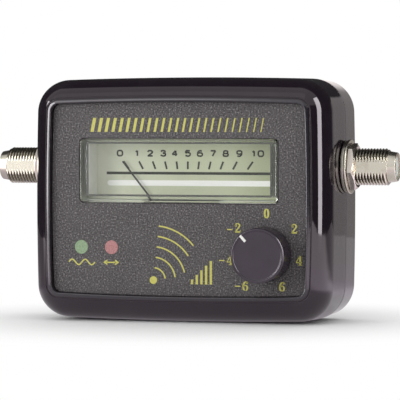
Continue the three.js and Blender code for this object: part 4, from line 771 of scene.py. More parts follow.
@dataclass(frozen=True)
class GlossCase(Finish):
    """Polished black plastic: faint ripples, dust, handling haze, and a lip paled by rubbing and
    painted highlight.
    """

    colour: Colour = (0.012, 0.008, 0.012)
    haze_colour: Colour = (0.016, 0.012, 0.016)
    sheen: Colour = (1.0, 0.93, 0.985)
    dust_colour: Colour = (0.30, 0.29, 0.30)
    # The lip's lighter colour is partly rubbing and partly a painted highlight.
    lip_wear_and_sheen_colour: Colour = (0.020, 0.019, 0.024)
    lip_depth: Pair = (-1.72, -1.46)
    polish: float = 0.03
    ior: float = 1.55
    coat: float = 0.35
    coat_roughness: float = 0.12
    ripple_depth: float = 0.006
    draw: Colour = (0.03, 1.7, 0.03)

    def shader(self, graph: Graph) -> Signal:
        """Mixes haze, dust and the lip's wear and painted highlight into the plastic.

        Args:
            graph: The material's nodes.

        Returns:
            The shader.
        """
        point = graph.drawing_point()
        depth = graph.split(point)[1]
        haze = graph.noise(point, 0.11, 4.0, 0.6).step(0.45, 0.75)
        dust = graph.specks(point, 1.3, 0.09, 0.10)
        fine_dust = graph.specks(point, 3.4, 0.11, 0.12)
        wear_and_sheen_noise = 0.55 + graph.noise(point, 0.5, 3.0) * 0.8
        rub_and_sheen = (1.0 - depth.step(*self.lip_depth)) * wear_and_sheen_noise
        base = graph.mix(haze, self.colour, self.haze_colour)
        # Lightens the lip: partly rubbing, partly a painted highlight.
        base = graph.mix(rub_and_sheen.clamped(), base, self.lip_wear_and_sheen_colour)
        base = graph.mix((dust * 0.5 + fine_dust * 0.3).clamped(), base, self.dust_colour)
        roughness = self.polish + haze * 0.03 + rub_and_sheen * 0.10 + dust * 0.3
        draw = graph.noise(graph.scaled(point, self.draw), 1.0, 2.0)
        ripple = graph.noise(point, 0.35, 1.0) + draw * 0.45
        return graph.principled({
            "Base Color": base,
            "Roughness": roughness.clamped(),
            "IOR": self.ior,
            "Specular Tint": self.sheen,
            "Coat Weight": rub_and_sheen.clamped() * self.coat,
            "Coat Roughness": self.coat_roughness,
            "Normal": graph.bump(ripple, self.ripple_depth),
        })


@dataclass(frozen=True)
class GrainedFilm(Finish):
    """Dark printed film with a fine grain and light and dark speckles."""

    colour: Colour = (0.076, 0.069, 0.071)
    dark: Colour = (0.015, 0.013, 0.015)
    light: Colour = (0.28, 0.262, 0.265)
    roughness: float = 0.62
    depth: float = 0.05
    specular: float = 0.24

    def shader(self, graph: Graph) -> Signal:
        """Speckles from two noises, the grain as bump.

        Args:
            graph: The material's nodes.

        Returns:
            The shader.
        """
        point = graph.drawing_point()
        grain = graph.noise(point, 2.5, 2.0, 0.7)
        cloud = graph.noise(point, 0.16, 3.0)
        base = graph.mix(grain.step(0.50, 0.36) * 0.85, self.colour, self.dark)
        base = graph.mix(grain.step(0.54, 0.68) * 0.8, base, self.light)
        base = graph.mix(cloud.step(0.35, 0.8) * 0.06, base, self.light)
        return graph.principled({
            "Base Color": base,
            "Roughness": self.roughness - grain * 0.12,
            "Specular IOR Level": self.specular,
            "Normal": graph.bump(grain, self.depth),
        })


@dataclass(frozen=True)
class Ink(Finish):
    """Printing ink, thinned a little by the grain under it."""

    colour: Colour
    thin: Colour
    roughness: float = 0.5
    grain: float = 2.6
    specular: float = 0.5
    depth: float = 0.012

    def shader(self, graph: Graph) -> Signal:
        """Colour varied by the grain.

        Args:
            graph: The material's nodes.

        Returns:
            The shader.
        """
        point = graph.drawing_point()
        grain = graph.noise(point, self.grain, 3.0, 0.65)
        return graph.principled({
            "Base Color": graph.mix(grain.step(0.48, 0.28), self.colour, self.thin),
            "Roughness": self.roughness - grain * 0.1,
            "Specular IOR Level": self.specular,
            "Normal": graph.bump(grain, self.depth),
        })


@dataclass(frozen=True)
class Moulded(Finish):
    """Moulded plastic with a slight mottle and a fine surface texture."""

    colour: Colour
    mottle: Colour
    roughness: float = 0.45
    grain: float = 3.0
    depth: float = 0.004
    coat: float = 0.0
    subsurface: float = 0.0
    specular: float = 0.5
    sheen: Colour = (1.0, 1.0, 1.0)
    coat_roughness: float = 0.12
    subsurface_reach: float = 0.001

    def shader(self, graph: Graph) -> Signal:
        """Mottled colour, roughness that follows it, and the texture as bump.

        Args:
            graph: The material's nodes.

        Returns:
            The shader.
        """
        point = graph.drawing_point()
        cloud = graph.noise(point, 0.22, 3.0)
        grain = graph.noise(point, self.grain, 2.0)
        return graph.principled({
            "Base Color": graph.mix(cloud.step(0.3, 0.75), self.colour, self.mottle),
            "Roughness": self.roughness + (cloud - 0.5) * 0.12,
            "Specular IOR Level": self.specular,
            "Specular Tint": self.sheen,
            "Coat Weight": self.coat,
            "Coat Roughness": self.coat_roughness,
            "Subsurface Weight": self.subsurface,
            "Subsurface Scale": self.subsurface_reach,
            "Normal": graph.bump(grain, self.depth),
        })


@dataclass(frozen=True)
class DialCard(Finish):
    """Pale printed card, its left-hand end paler and greyer from painted light and its right-hand
    one darker from painted shade.
    """

    # The end colours are painted light at the left and painted shade at the right.
    left: Colour = (0.66, 0.68, 0.56)
    middle: Colour = (0.52, 0.56, 0.38)
    right: Colour = (0.35, 0.385, 0.225)
    stain: Colour = (0.46, 0.50, 0.35)
    left_fade: Pair = (-26.0, 2.0)
    right_fade: Pair = (9.0, 24.0)
    fibre: Colour = (3.0, 1.0, 7.0)
    depth: float = 0.006

    def shader(self, graph: Graph) -> Signal:
        """Painted light and shade along the card, with paper fibre and a few stains.

        Args:
            graph: The material's nodes.

        Returns:
            The shader.
        """
        point = graph.drawing_point()
        x = graph.split(point)[0]
        fibre = graph.noise(graph.scaled(point, self.fibre), 1.0, 3.0, 0.6)
        cloud = graph.noise(point, 0.18, 3.0)
        # Paler towards the left and darker towards the right: painted light and painted shade.
        base = graph.mix(x.step(*self.left_fade), self.left, self.middle)
        base = graph.mix(x.step(*self.right_fade), base, self.right)
        base = graph.mix(cloud.step(0.52, 0.85) * 0.5, base, self.stain)
        base = graph.mix(fibre.step(0.5, 0.25) * 0.25, base, self.stain)
        return graph.principled({
            "Base Color": base,
            "Roughness": 0.55 + fibre * 0.15,
            "Normal": graph.bump(fibre, self.depth),
        })


@dataclass(frozen=True)
class ClearPlastic(Finish):
    """Clear moulded plastic with a trace of green that lets light through to the dial."""

    tint: Colour = (0.995, 1.0, 0.99)
    haze: Colour = (0.975, 0.985, 0.965)
    ior: float = 1.42
    specular: float = 0.2
    polish: float = 0.012
    wiped: float = 0.05
    wave_depth: float = 0.01

    def shader(self, graph: Graph) -> Signal:
        """Clear shader with faint wipe marks, and a clear shadow.

        Args:
            graph: The material's nodes.

        Returns:
            The shader.
        """
        point = graph.drawing_point()
        wipe = graph.noise(graph.scaled(point, (0.5, 1.0, 3.0)), 0.6, 4.0, 0.6)
        clear = graph.principled({
            "Base Color": graph.mix(wipe.step(0.5, 0.9), self.tint, self.haze),
            "Roughness": (self.polish + wipe.step(0.5, 0.85) * self.wiped).clamped(),
            "IOR": self.ior,
            "Specular IOR Level": self.specular,
            "Transmission Weight": 1.0,
            "Normal": graph.bump(graph.noise(point, 0.25, 1.0), self.wave_depth),
        })
        shadow = graph.add("ShaderNodeBsdfTransparent", values={"Color": opaque(self.tint)})
        plain = graph.ray("Shadow").most(graph.ray("Diffuse"))
        return graph.add("ShaderNodeMixShader", values={0: plain, 1: clear, 2: shadow})


class Lines(Enum):
    """How a metal surface was worked."""

    TURNED_ON_X = "turned round the socket's axis"
    BRUSHED_ON_X = "brushed from side to side"
    BRUSHED_ON_Z = "brushed up and down"
    CAST = "left as cast"


@dataclass(frozen=True)
class Metal(Finish):
    """Bare or plated metal with the marks of its working and some tarnish."""

    colour: Colour
    tarnish: Colour
    roughness: float = 0.25
    lines: Lines = Lines.CAST
    depth: float = 0.004
    axis: Pair = (0.0, 0.0)
    thread: Triple = (0.0, 0.0, 0.0)
    # Dirt and painted shade in a thread's valleys.
    dirt_and_shade_colour: Colour = (0.17, 0.145, 0.105)
    dirt_and_shade: float = 0.85
    spread: float = 0.12
    fine: float = 9.0
    along: float = 0.6
    cast: float = 3.0

    def _radius(self, graph: Graph, point: Signal) -> Signal:
        """Distance from the axis that the metal was turned on."""
        _, y, z = graph.split(point)
        return ((y - self.axis[0]) ** 2 + (z - self.axis[1]) ** 2).root()

    def _grain(self, graph: Graph, point: Signal) -> Signal:
        """Noise drawn out along the marks.

        Args:
            graph: The material's nodes.
            point: The point on the drawing.

        Returns:
            The noise.
        """
        if self.lines is Lines.TURNED_ON_X:
            x, _, _ = graph.split(point)
            radius = self._radius(graph, point)
            return graph.noise(graph.merged(x * self.fine, radius * self.fine, 0.0), 1.0, 2.0)
        factors = {
            Lines.BRUSHED_ON_X: (self.along, self.fine, self.fine),
            Lines.BRUSHED_ON_Z: (self.fine, self.fine, self.along),
            Lines.CAST: (self.cast, self.cast, self.cast),
        }
        return graph.noise(graph.scaled(point, factors[self.lines]), 1.0, 2.0)

    def shader(self, graph: Graph) -> Signal:
        """Metal whose tint and roughness follow tarnish and working marks.

        A thread gives the radii of its root and crest and the distance of its flats from the
        axis: dirt and painted shade darken the thread's valleys, fading out from the root to the
        crest, and the flats and what lies inside the root are left plain.

        Args:
            graph: The material's nodes.

        Returns:
            The shader.
        """
        point = graph.drawing_point()
        marks = self._grain(graph, point)
        cloud = graph.noise(point, 0.35, 4.0, 0.6)
        stain = cloud.step(0.5, 0.8)
        base = graph.mix(stain * 0.8, self.colour, self.tarnish)
        root, crest, flat = self.thread
        if crest > root:
            radius = self._radius(graph, point)
            across = ((graph.split(point)[1] - self.axis[0]) ** 2).root()
            # Darkens the thread's valleys with dirt and painted shade.
            valley = radius.step(root - 0.3, root - 0.1) * radius.step(crest, root)
            valley = valley * across.step(flat, flat - 0.06)
            base = graph.mix(valley * self.dirt_and_shade, base, self.dirt_and_shade_colour)
        return graph.principled({
            "Base Color": base,
            "Metallic": 1.0,
            "Roughness": (self.roughness + (stain + marks - 0.5) * self.spread).clamped(),
            "Normal": graph.bump(marks, self.depth),
        })


@dataclass(frozen=True)
class Wound(Finish):
    """Enamelled wire laid in close turns."""

    colour: Colour = (0.46, 0.17, 0.07)
    # The gap colour is painted shade between the turns.
    gap: Colour = (0.12, 0.04, 0.02)
    pitch: float = 0.2
    depth: float = 0.03

    def shader(self, graph: Graph) -> Signal:
        """Turns as a sine across the winding, with painted shade darkening the gaps between them.

        Args:
            graph: The material's nodes.

        Returns:
            The shader.
        """
        depth = graph.split(graph.drawing_point())[1]
        wave = (depth * (TURN / self.pitch)).sine() * 0.5 + 0.5
        return graph.principled({
            "Base Color": graph.mix(wave, self.gap, self.colour),
            "Metallic": wave * 0.5 + 0.4,
            "Roughness": 0.45 - wave * 0.15,
            "Normal": graph.bump(wave, self.depth),
        })


@dataclass(frozen=True)
class Laminate(Finish):
    """Circuit board laminate: green resist over woven glass and copper tracks."""

    resist: Colour = (0.012, 0.085, 0.035)
    track: Colour = (0.028, 0.15, 0.055)
    weave: float = 2.2
    run: Colour = (0.12, 0.1, 0.9)
    depth: float = 0.03

    def shader(self, graph: Graph) -> Signal:
        """Weave as the product of two sines, tracks as stretched noise.

        Args:
            graph: The material's nodes.

        Returns:
            The shader.
        """
        point = graph.drawing_point()
        x, _, z = graph.split(point)
        cloth = (x * (TURN * self.weave)).sine() * (z * (TURN * self.weave)).sine()
        run = graph.noise(graph.scaled(point, self.run), 1.0, 0.0).step(0.53, 0.55)
        return graph.principled({
            "Base Color": graph.mix(run, self.resist, self.track),
            "Roughness": 0.32 + cloth * 0.04,
            "Normal": graph.bump(run * 0.8 + cloth * 0.1, self.depth),
        })


@dataclass(frozen=True)
class FloorPaper(Finish):
    """Pale studio paper that turns into the plain background away from the object."""

    colour: Colour = (0.985, 0.985, 0.985)
    white: Colour = (1.0, 1.0, 1.0)
    mirrored_near: Colour = (1.0, 0.90, 1.0)
    mirrored_far: Colour = (0.88, 0.845, 0.835)
    near: float = 0.035
    far: float = 0.09
    level: float = 0.95
    right: float = 1.3
    left: float = 2.6
    back: float = 0.38
    left_back: float = 0.5

    def _mirrored(self, graph: Graph, x: Signal, y: Signal, reach: Signal) -> Signal:
        """What the gloss shows of the floor: brighter in front at both sides, darker behind.

        Args:
            graph: The material's nodes.
            x: Place to the right, in metres.
            y: Place to the back.
            reach: Distance from the middle.

        Returns:
            The colour.
        """
        tint = graph.mix(reach.step(0.10, 0.30) * 0.8, self.mirrored_near, self.mirrored_far)
        right = x.step(0.06, 0.12) * y.step(0.14, 0.04) * self.right
        left = x.step(-0.08, -0.15) * y.step(-0.03, -0.10) * self.left
        back = 1.0 - y.step(0.03, 0.15) * self.back
        left_back = 1.0 - x.step(-0.03, -0.10) * y.step(-0.06, 0.02) * self.left_back
        return graph.times(tint, (self.level + right + left) * back * left_back)

    def shader(self, graph: Graph) -> Signal:
        """Matt paper near the object, white for the camera and in reflections further out.

        Args:
            graph: The material's nodes.

        Returns:
            The shader.
        """
        place = graph.add("ShaderNodeTexCoord", output="Object")
        x, y, _ = graph.split(place)
        reach = (x**2.0 + y**2.0).root()
        fibre = graph.noise(place, 400.0, 2.0)
        paper = graph.principled({
            "Base Color": graph.mix(fibre.step(0.2, 0.8) * 0.04, self.colour, self.white),
            "Roughness": 0.9,
            "Specular IOR Level": 0.1,
        })
        glossy = graph.ray("Glossy")
        colour = graph.mix(glossy, self.white, self._mirrored(graph, x, y, reach))
        glow = graph.add("ShaderNodeEmission", values={"Color": colour})
        close = glossy * (0.3 + y.step(-0.015, -0.05) * 0.6)
        seen = graph.ray("Camera").most(glossy).most(graph.ray("Transmission"))
        share = reach.step(self.near, self.far).most(close) * seen
        return graph.add("ShaderNodeMixShader", values={0: share, 1: paper, 2: glow})


SOCKET_AXIS = (16.9, 8.2)

CASE_PLASTIC = GlossCase("gloss_case_plastic")
PANEL_FILM = GrainedFilm("grained_panel_film")
YELLOW_INK = Ink("yellow_ink", (0.53, 0.50, 0.10), (0.27, 0.25, 0.07))
DIAL_CARD = DialCard("dial_card")
DARK_INK = Ink(
    "dark_dial_ink", (0.010, 0.014, 0.006), (0.022, 0.030, 0.016), grain=6.0, specular=0.08
)
WHITE_INK = Ink("white_dial_ink", (0.96, 0.96, 0.94), (0.90, 0.91, 0.88), grain=6.0)
# Dark finish for the ring that paints the hollow's shade line.
SHADE_RING_FINISH = Moulded("dark_ring_rubber", (0.016, 0.018, 0.012), (0.022, 0.024, 0.018), 0.6)
SURROUND_PLASTIC = Moulded("pale_surround_plastic", (0.70, 0.70, 0.66), (0.62, 0.62, 0.58), 0.45)
CLEAR_COVER = ClearPlastic("clear_cover_plastic")
HOUSING_PLASTIC = Moulded(
    "pale_housing_plastic", (0.66, 0.68, 0.61), (0.60, 0.63, 0.56), 0.5, subsurface=0.05
)
NEEDLE_PAINT = Moulded(
    "needle_paint", (0.012, 0.013, 0.009), (0.020, 0.021, 0.016), 0.5, specular=0.12
)
KNOB_PLASTIC = Moulded(
    "knob_plastic", (0.020, 0.014, 0.022), (0.025, 0.018, 0.028), 0.20, 4.0, 0.002,
    specular=0.62, sheen=(1.0, 0.92, 1.0),
)
MARK_PLASTIC = Moulded("mark_plastic", (0.82, 0.82, 0.78), (0.76, 0.76, 0.72), 0.42)
GREEN_FILM = GrainedFilm(
    "green_film", (0.25, 0.35, 0.21), (0.17, 0.25, 0.14), (0.34, 0.44, 0.31), 0.5, 0.02
)
RED_FILM = GrainedFilm(
    "red_film", (0.42, 0.20, 0.20), (0.31, 0.12, 0.12), (0.53, 0.30, 0.30), 0.5, 0.02
)
NICKEL = Metal(
    "turned_nickel", (0.58, 0.55, 0.47), (0.46, 0.42, 0.34), 0.22, Lines.TURNED_ON_X, 0.004,
    SOCKET_AXIS, thread=(4.33, 4.7, 4.04),
)
NUT_NICKEL = Metal(
    "nut_nickel", (0.62, 0.57, 0.52), (0.46, 0.40, 0.34), 0.22, Lines.BRUSHED_ON_X, 0.004
)
STEEL = Metal("bright_steel", (0.50, 0.50, 0.50), (0.34, 0.33, 0.31), 0.3, Lines.BRUSHED_ON_Z)
MAGNET_METAL = Metal("magnet_metal", (0.30, 0.30, 0.31), (0.20, 0.19, 0.18), 0.45)
BRASS = Metal("brass", (0.62, 0.45, 0.18), (0.40, 0.27, 0.12), 0.3, Lines.BRUSHED_ON_Z)
COPPER_WIRE = Wound("enamelled_wire")
INSULATOR_PLASTIC = Moulded(
    "insulator_plastic", (0.70, 0.70, 0.67), (0.62, 0.62, 0.58), 0.38, subsurface=0.1
)
GREEN_LAMP = Moulded("green_lamp_plastic", (0.08, 0.42, 0.12), (0.06, 0.34, 0.10), 0.15, coat=0.5)
RED_LAMP = Moulded("red_lamp_plastic", (0.52, 0.045, 0.04), (0.42, 0.03, 0.03), 0.15, coat=0.5)
BOARD_LAMINATE = Laminate("board_laminate")
BLACK_PLASTIC = Moulded("black_part_plastic", (0.014, 0.014, 0.015), (0.022, 0.022, 0.023), 0.5)
PHENOLIC_SHEET = Moulded("phenolic_sheet", (0.14, 0.055, 0.022), (0.19, 0.08, 0.035), 0.6, 1.2)
BLUE_SLEEVE = Moulded("blue_sleeve", (0.014, 0.028, 0.09), (0.02, 0.04, 0.12), 0.3, coat=0.3)


# Making objects


@dataclass
class Piece:
    """What one finished object is made of, what it rides on and what it stands for."""

    name: str
    part: Part
    finish: Finish
    body: str = "case"
    slot: str | None = None
    replaces: tuple[str, ...] = ()
    sharp_deg: float = 32.0
    add: Part | None = None
    cuts: tuple[Part, ...] = ()

    def build(self) -> None:
        """Makes the object, adds and cuts its tools, finishes it, puts it on its body and hides
        what it replaces.
        """
        piece = mesh_object(self.name, self.part)
        if self.add is not None:
            combine(piece, self.add, "UNION")
        for tool in self.cuts:
            combine(piece, tool, "DIFFERENCE")
        mesh = piece.data
        mesh.materials.clear()
        mesh.materials.append(self.finish.material())
        mesh.polygons.foreach_set("material_index", np.zeros(len(mesh.polygons), np.int32))
        mesh.shade_smooth()
        mesh.set_sharp_from_angle(angle=math.radians(self.sharp_deg))
        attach(piece, self.body)
        if self.replaces:
            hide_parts(*self.replaces)
        LOG.info("%s: %d faces", self.name, len(mesh.polygons))


def mesh_object(name: str, part: Part) -> bpy.types.Object:
    """An object in the scene with a part's mesh, placed in the frame.

    Args:
        name: The object's name.
        part: Its shape.

    Returns:
        The object.
    """
    mesh = bpy.data.meshes.new(name)
    faces = part.quads.tolist() + part.triangles.tolist() + [cap.tolist() for cap in part.caps]
    mesh.from_pydata(DATUM.placed(part.points).tolist(), [], faces)
    mesh.validate()
    piece = bpy.data.objects.new(name, mesh)
    bpy.context.scene.collection.objects.link(piece)
    return piece


def combine(piece: bpy.types.Object, tool: Part, operation: str) -> None:
    """Adds a tool to a piece's mesh or cuts it out, for good.

    Args:
        piece: The object whose mesh is changed.
        tool: Closed surfaces that stay clear of each other.
        operation: UNION or DIFFERENCE.
    """
    helper = mesh_object("tool", tool)
    modifier = piece.modifiers.new("tool", "BOOLEAN")
    modifier.operation, modifier.solver, modifier.object = operation, "EXACT", helper
    bpy.context.view_layer.update()
    depsgraph = bpy.context.evaluated_depsgraph_get()
    result = bpy.data.meshes.new_from_object(piece.evaluated_get(depsgraph))
    old = piece.data
    piece.modifiers.clear()
    piece.data = result
    result.name = piece.name
    bpy.data.meshes.remove(old)
    spare = helper.data
    bpy.data.objects.remove(helper)
    bpy.data.meshes.remove(spare)


def dress(finish: Finish, *nodes: str) -> None:
    """Gives CAD nodes that stay in view a finish."""
    for node in nodes:
        for slot in frame["nodes"][node].material_slots:
            slot.material = finish.material()


# The object's sub-assemblies


@dataclass(frozen=True)
class Layout:
    """The driving sizes that several sub-assemblies share."""

    panel_thickness: float = 0.35
    front_wall: float = 2.0
    seat: float = 0.05
    window: Box = Box(26.45, -0.9, 15.3, 1.0)
    window_clearance: float = 0.12
    knob: Pair = (23.15, -13.9)
    knob_rest_deg: float = -41.4
    bush_hole: float = 3.7
    lamps: tuple[tuple[str, float], ...] = (("green", -26.2), ("red", -18.0))
    lamp_z: float = -12.6
    lamp_radius: float = 1.8
    seam: float = 16.95
    seam_gap: float = 0.15
    back: float = 28.8
    socket_radius: float = 5.11
    panel_rise: float = 0.25
    bows: Pair = (0.55, 0.7)
    panel_corner: float = 2.0
    case_corner: float = 8.8
    boss: Pair = (33.2, 24.6)

    @property
    def wall_back(self) -> float:
        """Inner face of the front wall."""
        return self.panel_thickness + self.front_wall

    def outline(self, node: str, corner: float, centre_z: float) -> Pillow:
        """A swelling outline whose width and height are a node's in the frame."""
        low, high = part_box(node)
        halves = (high.x - low.x) / 2 / MM, (high.z - low.z) / 2 / MM
        return Pillow(*halves, *self.bows, corner, centre_z)

    def panel(self) -> Pillow:
        """The label panel's outline."""
        return self.outline("label_panel", self.panel_corner, 0.0)

    def case(self) -> Pillow:
        """The case's outline."""
        return self.outline("front_shell", self.case_corner, -self.panel_rise)

    def boss_places(self) -> list[Pair]:
        """Where the four screw bosses stand."""
        x, z = self.boss
        return [(sx * x, sz * z - self.panel_rise) for sx in (-1, 1) for sz in (-1, 1)]


LAYOUT = Layout()


@dataclass(frozen=True)
class Case:
    """The two gloss shells."""

    wall: float = 2.0
    round_start: float = 6.0
    bezel_stand: float = 1.35
    lip_stand: float = 1.9
    lip_width: float = 1.52
    recess_slope: float = 0.08
    draft: float = 0.25
    lip_groove: float = 0.2
    lip_foot: float = 0.34
    round_sweep_deg: float = 65.0
    fit: float = 0.1
    cavity_round: float = 3.0
    edge: float = 0.18
    back_edge: float = 1.0
    boss_radius: float = 3.6
    well_radius: float = 2.8
    well_depth: float = 4.0
    tongue_length: float = 1.8
    tongue_thickness: float = 1.0
    margin: float = 1.4
    back_margin: float = 1.15
    flat_inset: float = 0.12
    lip_crest: float = 0.22
    lip_round: float = 0.38
    socket_hole: Pair = (34.0, 44.0)
    boss_bore: Pair = (1.15, 9.0)
    lamp_hole: float = 1.7
    posts: tuple[Pair, ...] = ((-24.0, 22.5), (24.0, -22.5))
    post: Pair = (2.6, 23.25)
    post_bore: Triple = (1.1, 22.0, 26.2)
    screw_hole: float = 1.5
    well_flare: Triple = (0.4, 0.15, 0.25)
    notch: Triple = (35.7, 2.5, 6.25)
    boss_gap: float = 0.3

    def socket_holes(self) -> Part:
        """Cutters for the round holes that the two sockets pass through."""
        hole = rod(LAYOUT.socket_radius, *self.socket_hole, 0, 0, 64)
        return joined([hole.moved((0, *SOCKET_AXIS), sideways(sign)) for sign in (1, -1)])

    def front_rings(self) -> Points:
        """Rings of the front shell from the foot of its recess round to its inner face.

        The recess wall leans out to the lip, a rounded bead with a fine groove at its foot;
        outside it part of an ellipse, from its sweep angle down to 0, runs from the lip's foot
        back to the side, which widens by the moulding's draft up to the seam; the inside follows
        a wall's thickness behind.

        Returns:
            Array of rings.
        """
        case = LAYOUT.case()
        recess = LAYOUT.panel().inset(-self.fit)
        lip_inner = recess.inset(-self.recess_slope)
        lip_outer = lip_inner.inset(-self.lip_width)
        floor = LAYOUT.panel_thickness + LAYOUT.seat
        top = self.lip_stand - self.bezel_stand
        groove, foot, width = self.lip_groove, self.lip_foot, self.lip_width
        lip = softened([
            (0, 0, 0), (0.04, -groove, 0.03), (foot - 0.06, -groove, 0.03), (foot, 0.02, 0.03),
            (foot + self.lip_round, top * 0.62, 0.18), (width - self.lip_crest, top, 0.12),
            (width - 0.04, top * 0.76, 0.08), (width, top * 0.36, 0),
        ])
        rise = floor + self.bezel_stand + lip[-1, 1]
        rings = [recess.towards(lip_inner, t).ring(floor - rise * t) for t in (0, 0.3, 0.6, 0.9)]
        rings += [lip_outer.inset(s).ring(-self.bezel_stand - h) for s, h in lip[::-1]]
        depth = self.round_start + self.bezel_stand
        sweep = math.radians(self.round_sweep_deg)
        shoulder = case.inset(self.draft)
        rings += [
            shoulder.towards(lip_outer, (1 - math.cos(a)) / (1 - math.cos(sweep))).ring(
                self.round_start - depth * math.sin(a) / math.sin(sweep)
            )
            for a in np.linspace(sweep, 0, 28)[1:]
        ]
        end = LAYOUT.seam - LAYOUT.seam_gap / 2
        side = end - self.edge * self.margin - self.round_start
        rings += [
            shoulder.towards(case, t).ring(self.round_start + side * t)
            for t in np.linspace(0, 1, 6)[1:]
        ]
        rings += [case.inset(self.edge * s).ring(end - self.edge * h) for s, h in rounding(5)]
        inner = case.inset(self.wall)
        cavity = inner.inset(self.cavity_round)
        drop = self.round_start - LAYOUT.wall_back
        rings += [inner.ring(end)]
        rings += [
            inner.towards(cavity, s).ring(self.round_start - drop * (1 - h))
            for s, h in rounding(6)
        ]
        return np.stack(rings)

    def front(self) -> Piece:
        """The front shell with its bosses, its window, its holes and half the socket holes.

        Returns:
            The shell, not made yet.
        """
        end = LAYOUT.seam - LAYOUT.seam_gap / 2
        start = LAYOUT.wall_back - self.wall / 2
        over = LAYOUT.wall_back + OVERRUN
        places = LAYOUT.boss_places()
        radius, depth = self.boss_bore
        holes = [rod(radius, end - depth, end + OVERRUN, *place, 24) for place in places]
        holes += [rod(self.lamp_hole, -OVERRUN, over, x, LAYOUT.lamp_z) for _, x in LAYOUT.lamps]
        holes += [rod(LAYOUT.bush_hole, -OVERRUN, over, *LAYOUT.knob)]
        holes += [opening(LAYOUT.window.grown(LAYOUT.window_clearance), -OVERRUN, over)]
        return Piece(
            "front_shell_gloss", loft(self.front_rings()), CASE_PLASTIC, slot="case_black",
            replaces=("front_shell",),
            add=joined([rod(self.boss_radius, start, end, *place) for place in places]),
            cuts=(joined(holes), self.socket_holes()),
        )

    def rear_rings(self) -> Points:
        """Rings of the rear cover, from its inner face over the tongue and side to its back.

        Returns:
            Array of rings.
        """
        case = LAYOUT.case()
        start = LAYOUT.seam + LAYOUT.seam_gap / 2
        tip = LAYOUT.seam - self.tongue_length
        tongue = case.inset(self.wall + self.fit)
        mouth = tongue.inset(self.tongue_thickness)
        room = case.inset(self.wall)
        flat = case.inset(self.back_edge)
        rings = [room.ring(LAYOUT.back - self.wall), room.ring(start + 3), mouth.ring(start + 2)]
        rings += [mouth.ring(tip), tongue.ring(tip), tongue.ring(start)]
        rings += [case.inset(self.edge * s).ring(start + self.edge * h) for h, s in rounding(5)]
        shoulder = case.inset(self.draft)
        side_start = start + self.edge * self.margin
        side = LAYOUT.back - self.back_edge * self.back_margin - side_start
        rings += [
            case.towards(shoulder, t).ring(side_start + side * t) for t in np.linspace(0, 1, 6)
        ]
        rings += [
            shoulder.towards(flat, s).ring(LAYOUT.back - self.back_edge * h)
            for s, h in rounding(7)
        ]
        return np.stack([*rings, flat.inset(self.flat_inset).ring(LAYOUT.back)])

    def rear(self) -> Piece:
        """The rear cover with its screw wells, bosses, board posts and half the socket holes.

        Returns:
            The cover, not made yet.
        """
        wall = LAYOUT.back - self.wall
        seat = LAYOUT.back - self.well_depth
        tip = LAYOUT.seam - self.tongue_length - OVERRUN
        start = LAYOUT.seam - LAYOUT.seam_gap / 2 + self.boss_gap
        y, z = SOCKET_AXIS
        places = LAYOUT.boss_places()
        post_radius, post_front = self.post
        bore, bore_front, bore_back = self.post_bore
        bosses = [rod(self.boss_radius, start, wall + OVERRUN, *place) for place in places]
        bosses += [rod(post_radius, post_front, wall + OVERRUN, *post) for post in self.posts]
        flare, mouth, past = self.well_flare
        profile = softened([
            (self.screw_hole, start - 0.5, 0), (self.screw_hole, seat, 0),
            (self.well_radius, seat, 0), (self.well_radius, LAYOUT.back - mouth, 0),
            (self.well_radius + flare, LAYOUT.back + past, 0),
        ])
        wells = [turned(profile, 64).moved((place[0], 0, place[1])) for place in places]
        pilots = [rod(bore, bore_front, bore_back, *post, 24) for post in self.posts]
        inside, half, reach = self.notch
        notches = [
            bar((side - half, tip, z - reach), (side + half, y + reach, z + reach))
            for side in (-inside, inside)
        ]
        rooms = [rod(self.boss_radius + self.fit, tip, start - 0.02, *place) for place in places]
        return Piece(
            "rear_cover_gloss", loft(self.rear_rings()), CASE_PLASTIC, slot="case_black",
            replaces=("rear_cover",),
            add=joined(bosses),
            cuts=(joined(wells + pilots), joined(rooms + notches), self.socket_holes()),
        )

    def build(self) -> None:
        """Makes both shells; the four back screws keep their solids."""
        self.front().build()
        self.rear().build()
        dress(STEEL, *(f"case_screw_{i}" for i in range(1, 5)))


class Digit(Enum):
    """The numbers and the sign that stand round the knob."""

    ZERO = "zero"
    TWO = "two"
    FOUR = "four"
    SIX = "six"
    MINUS = "minus"


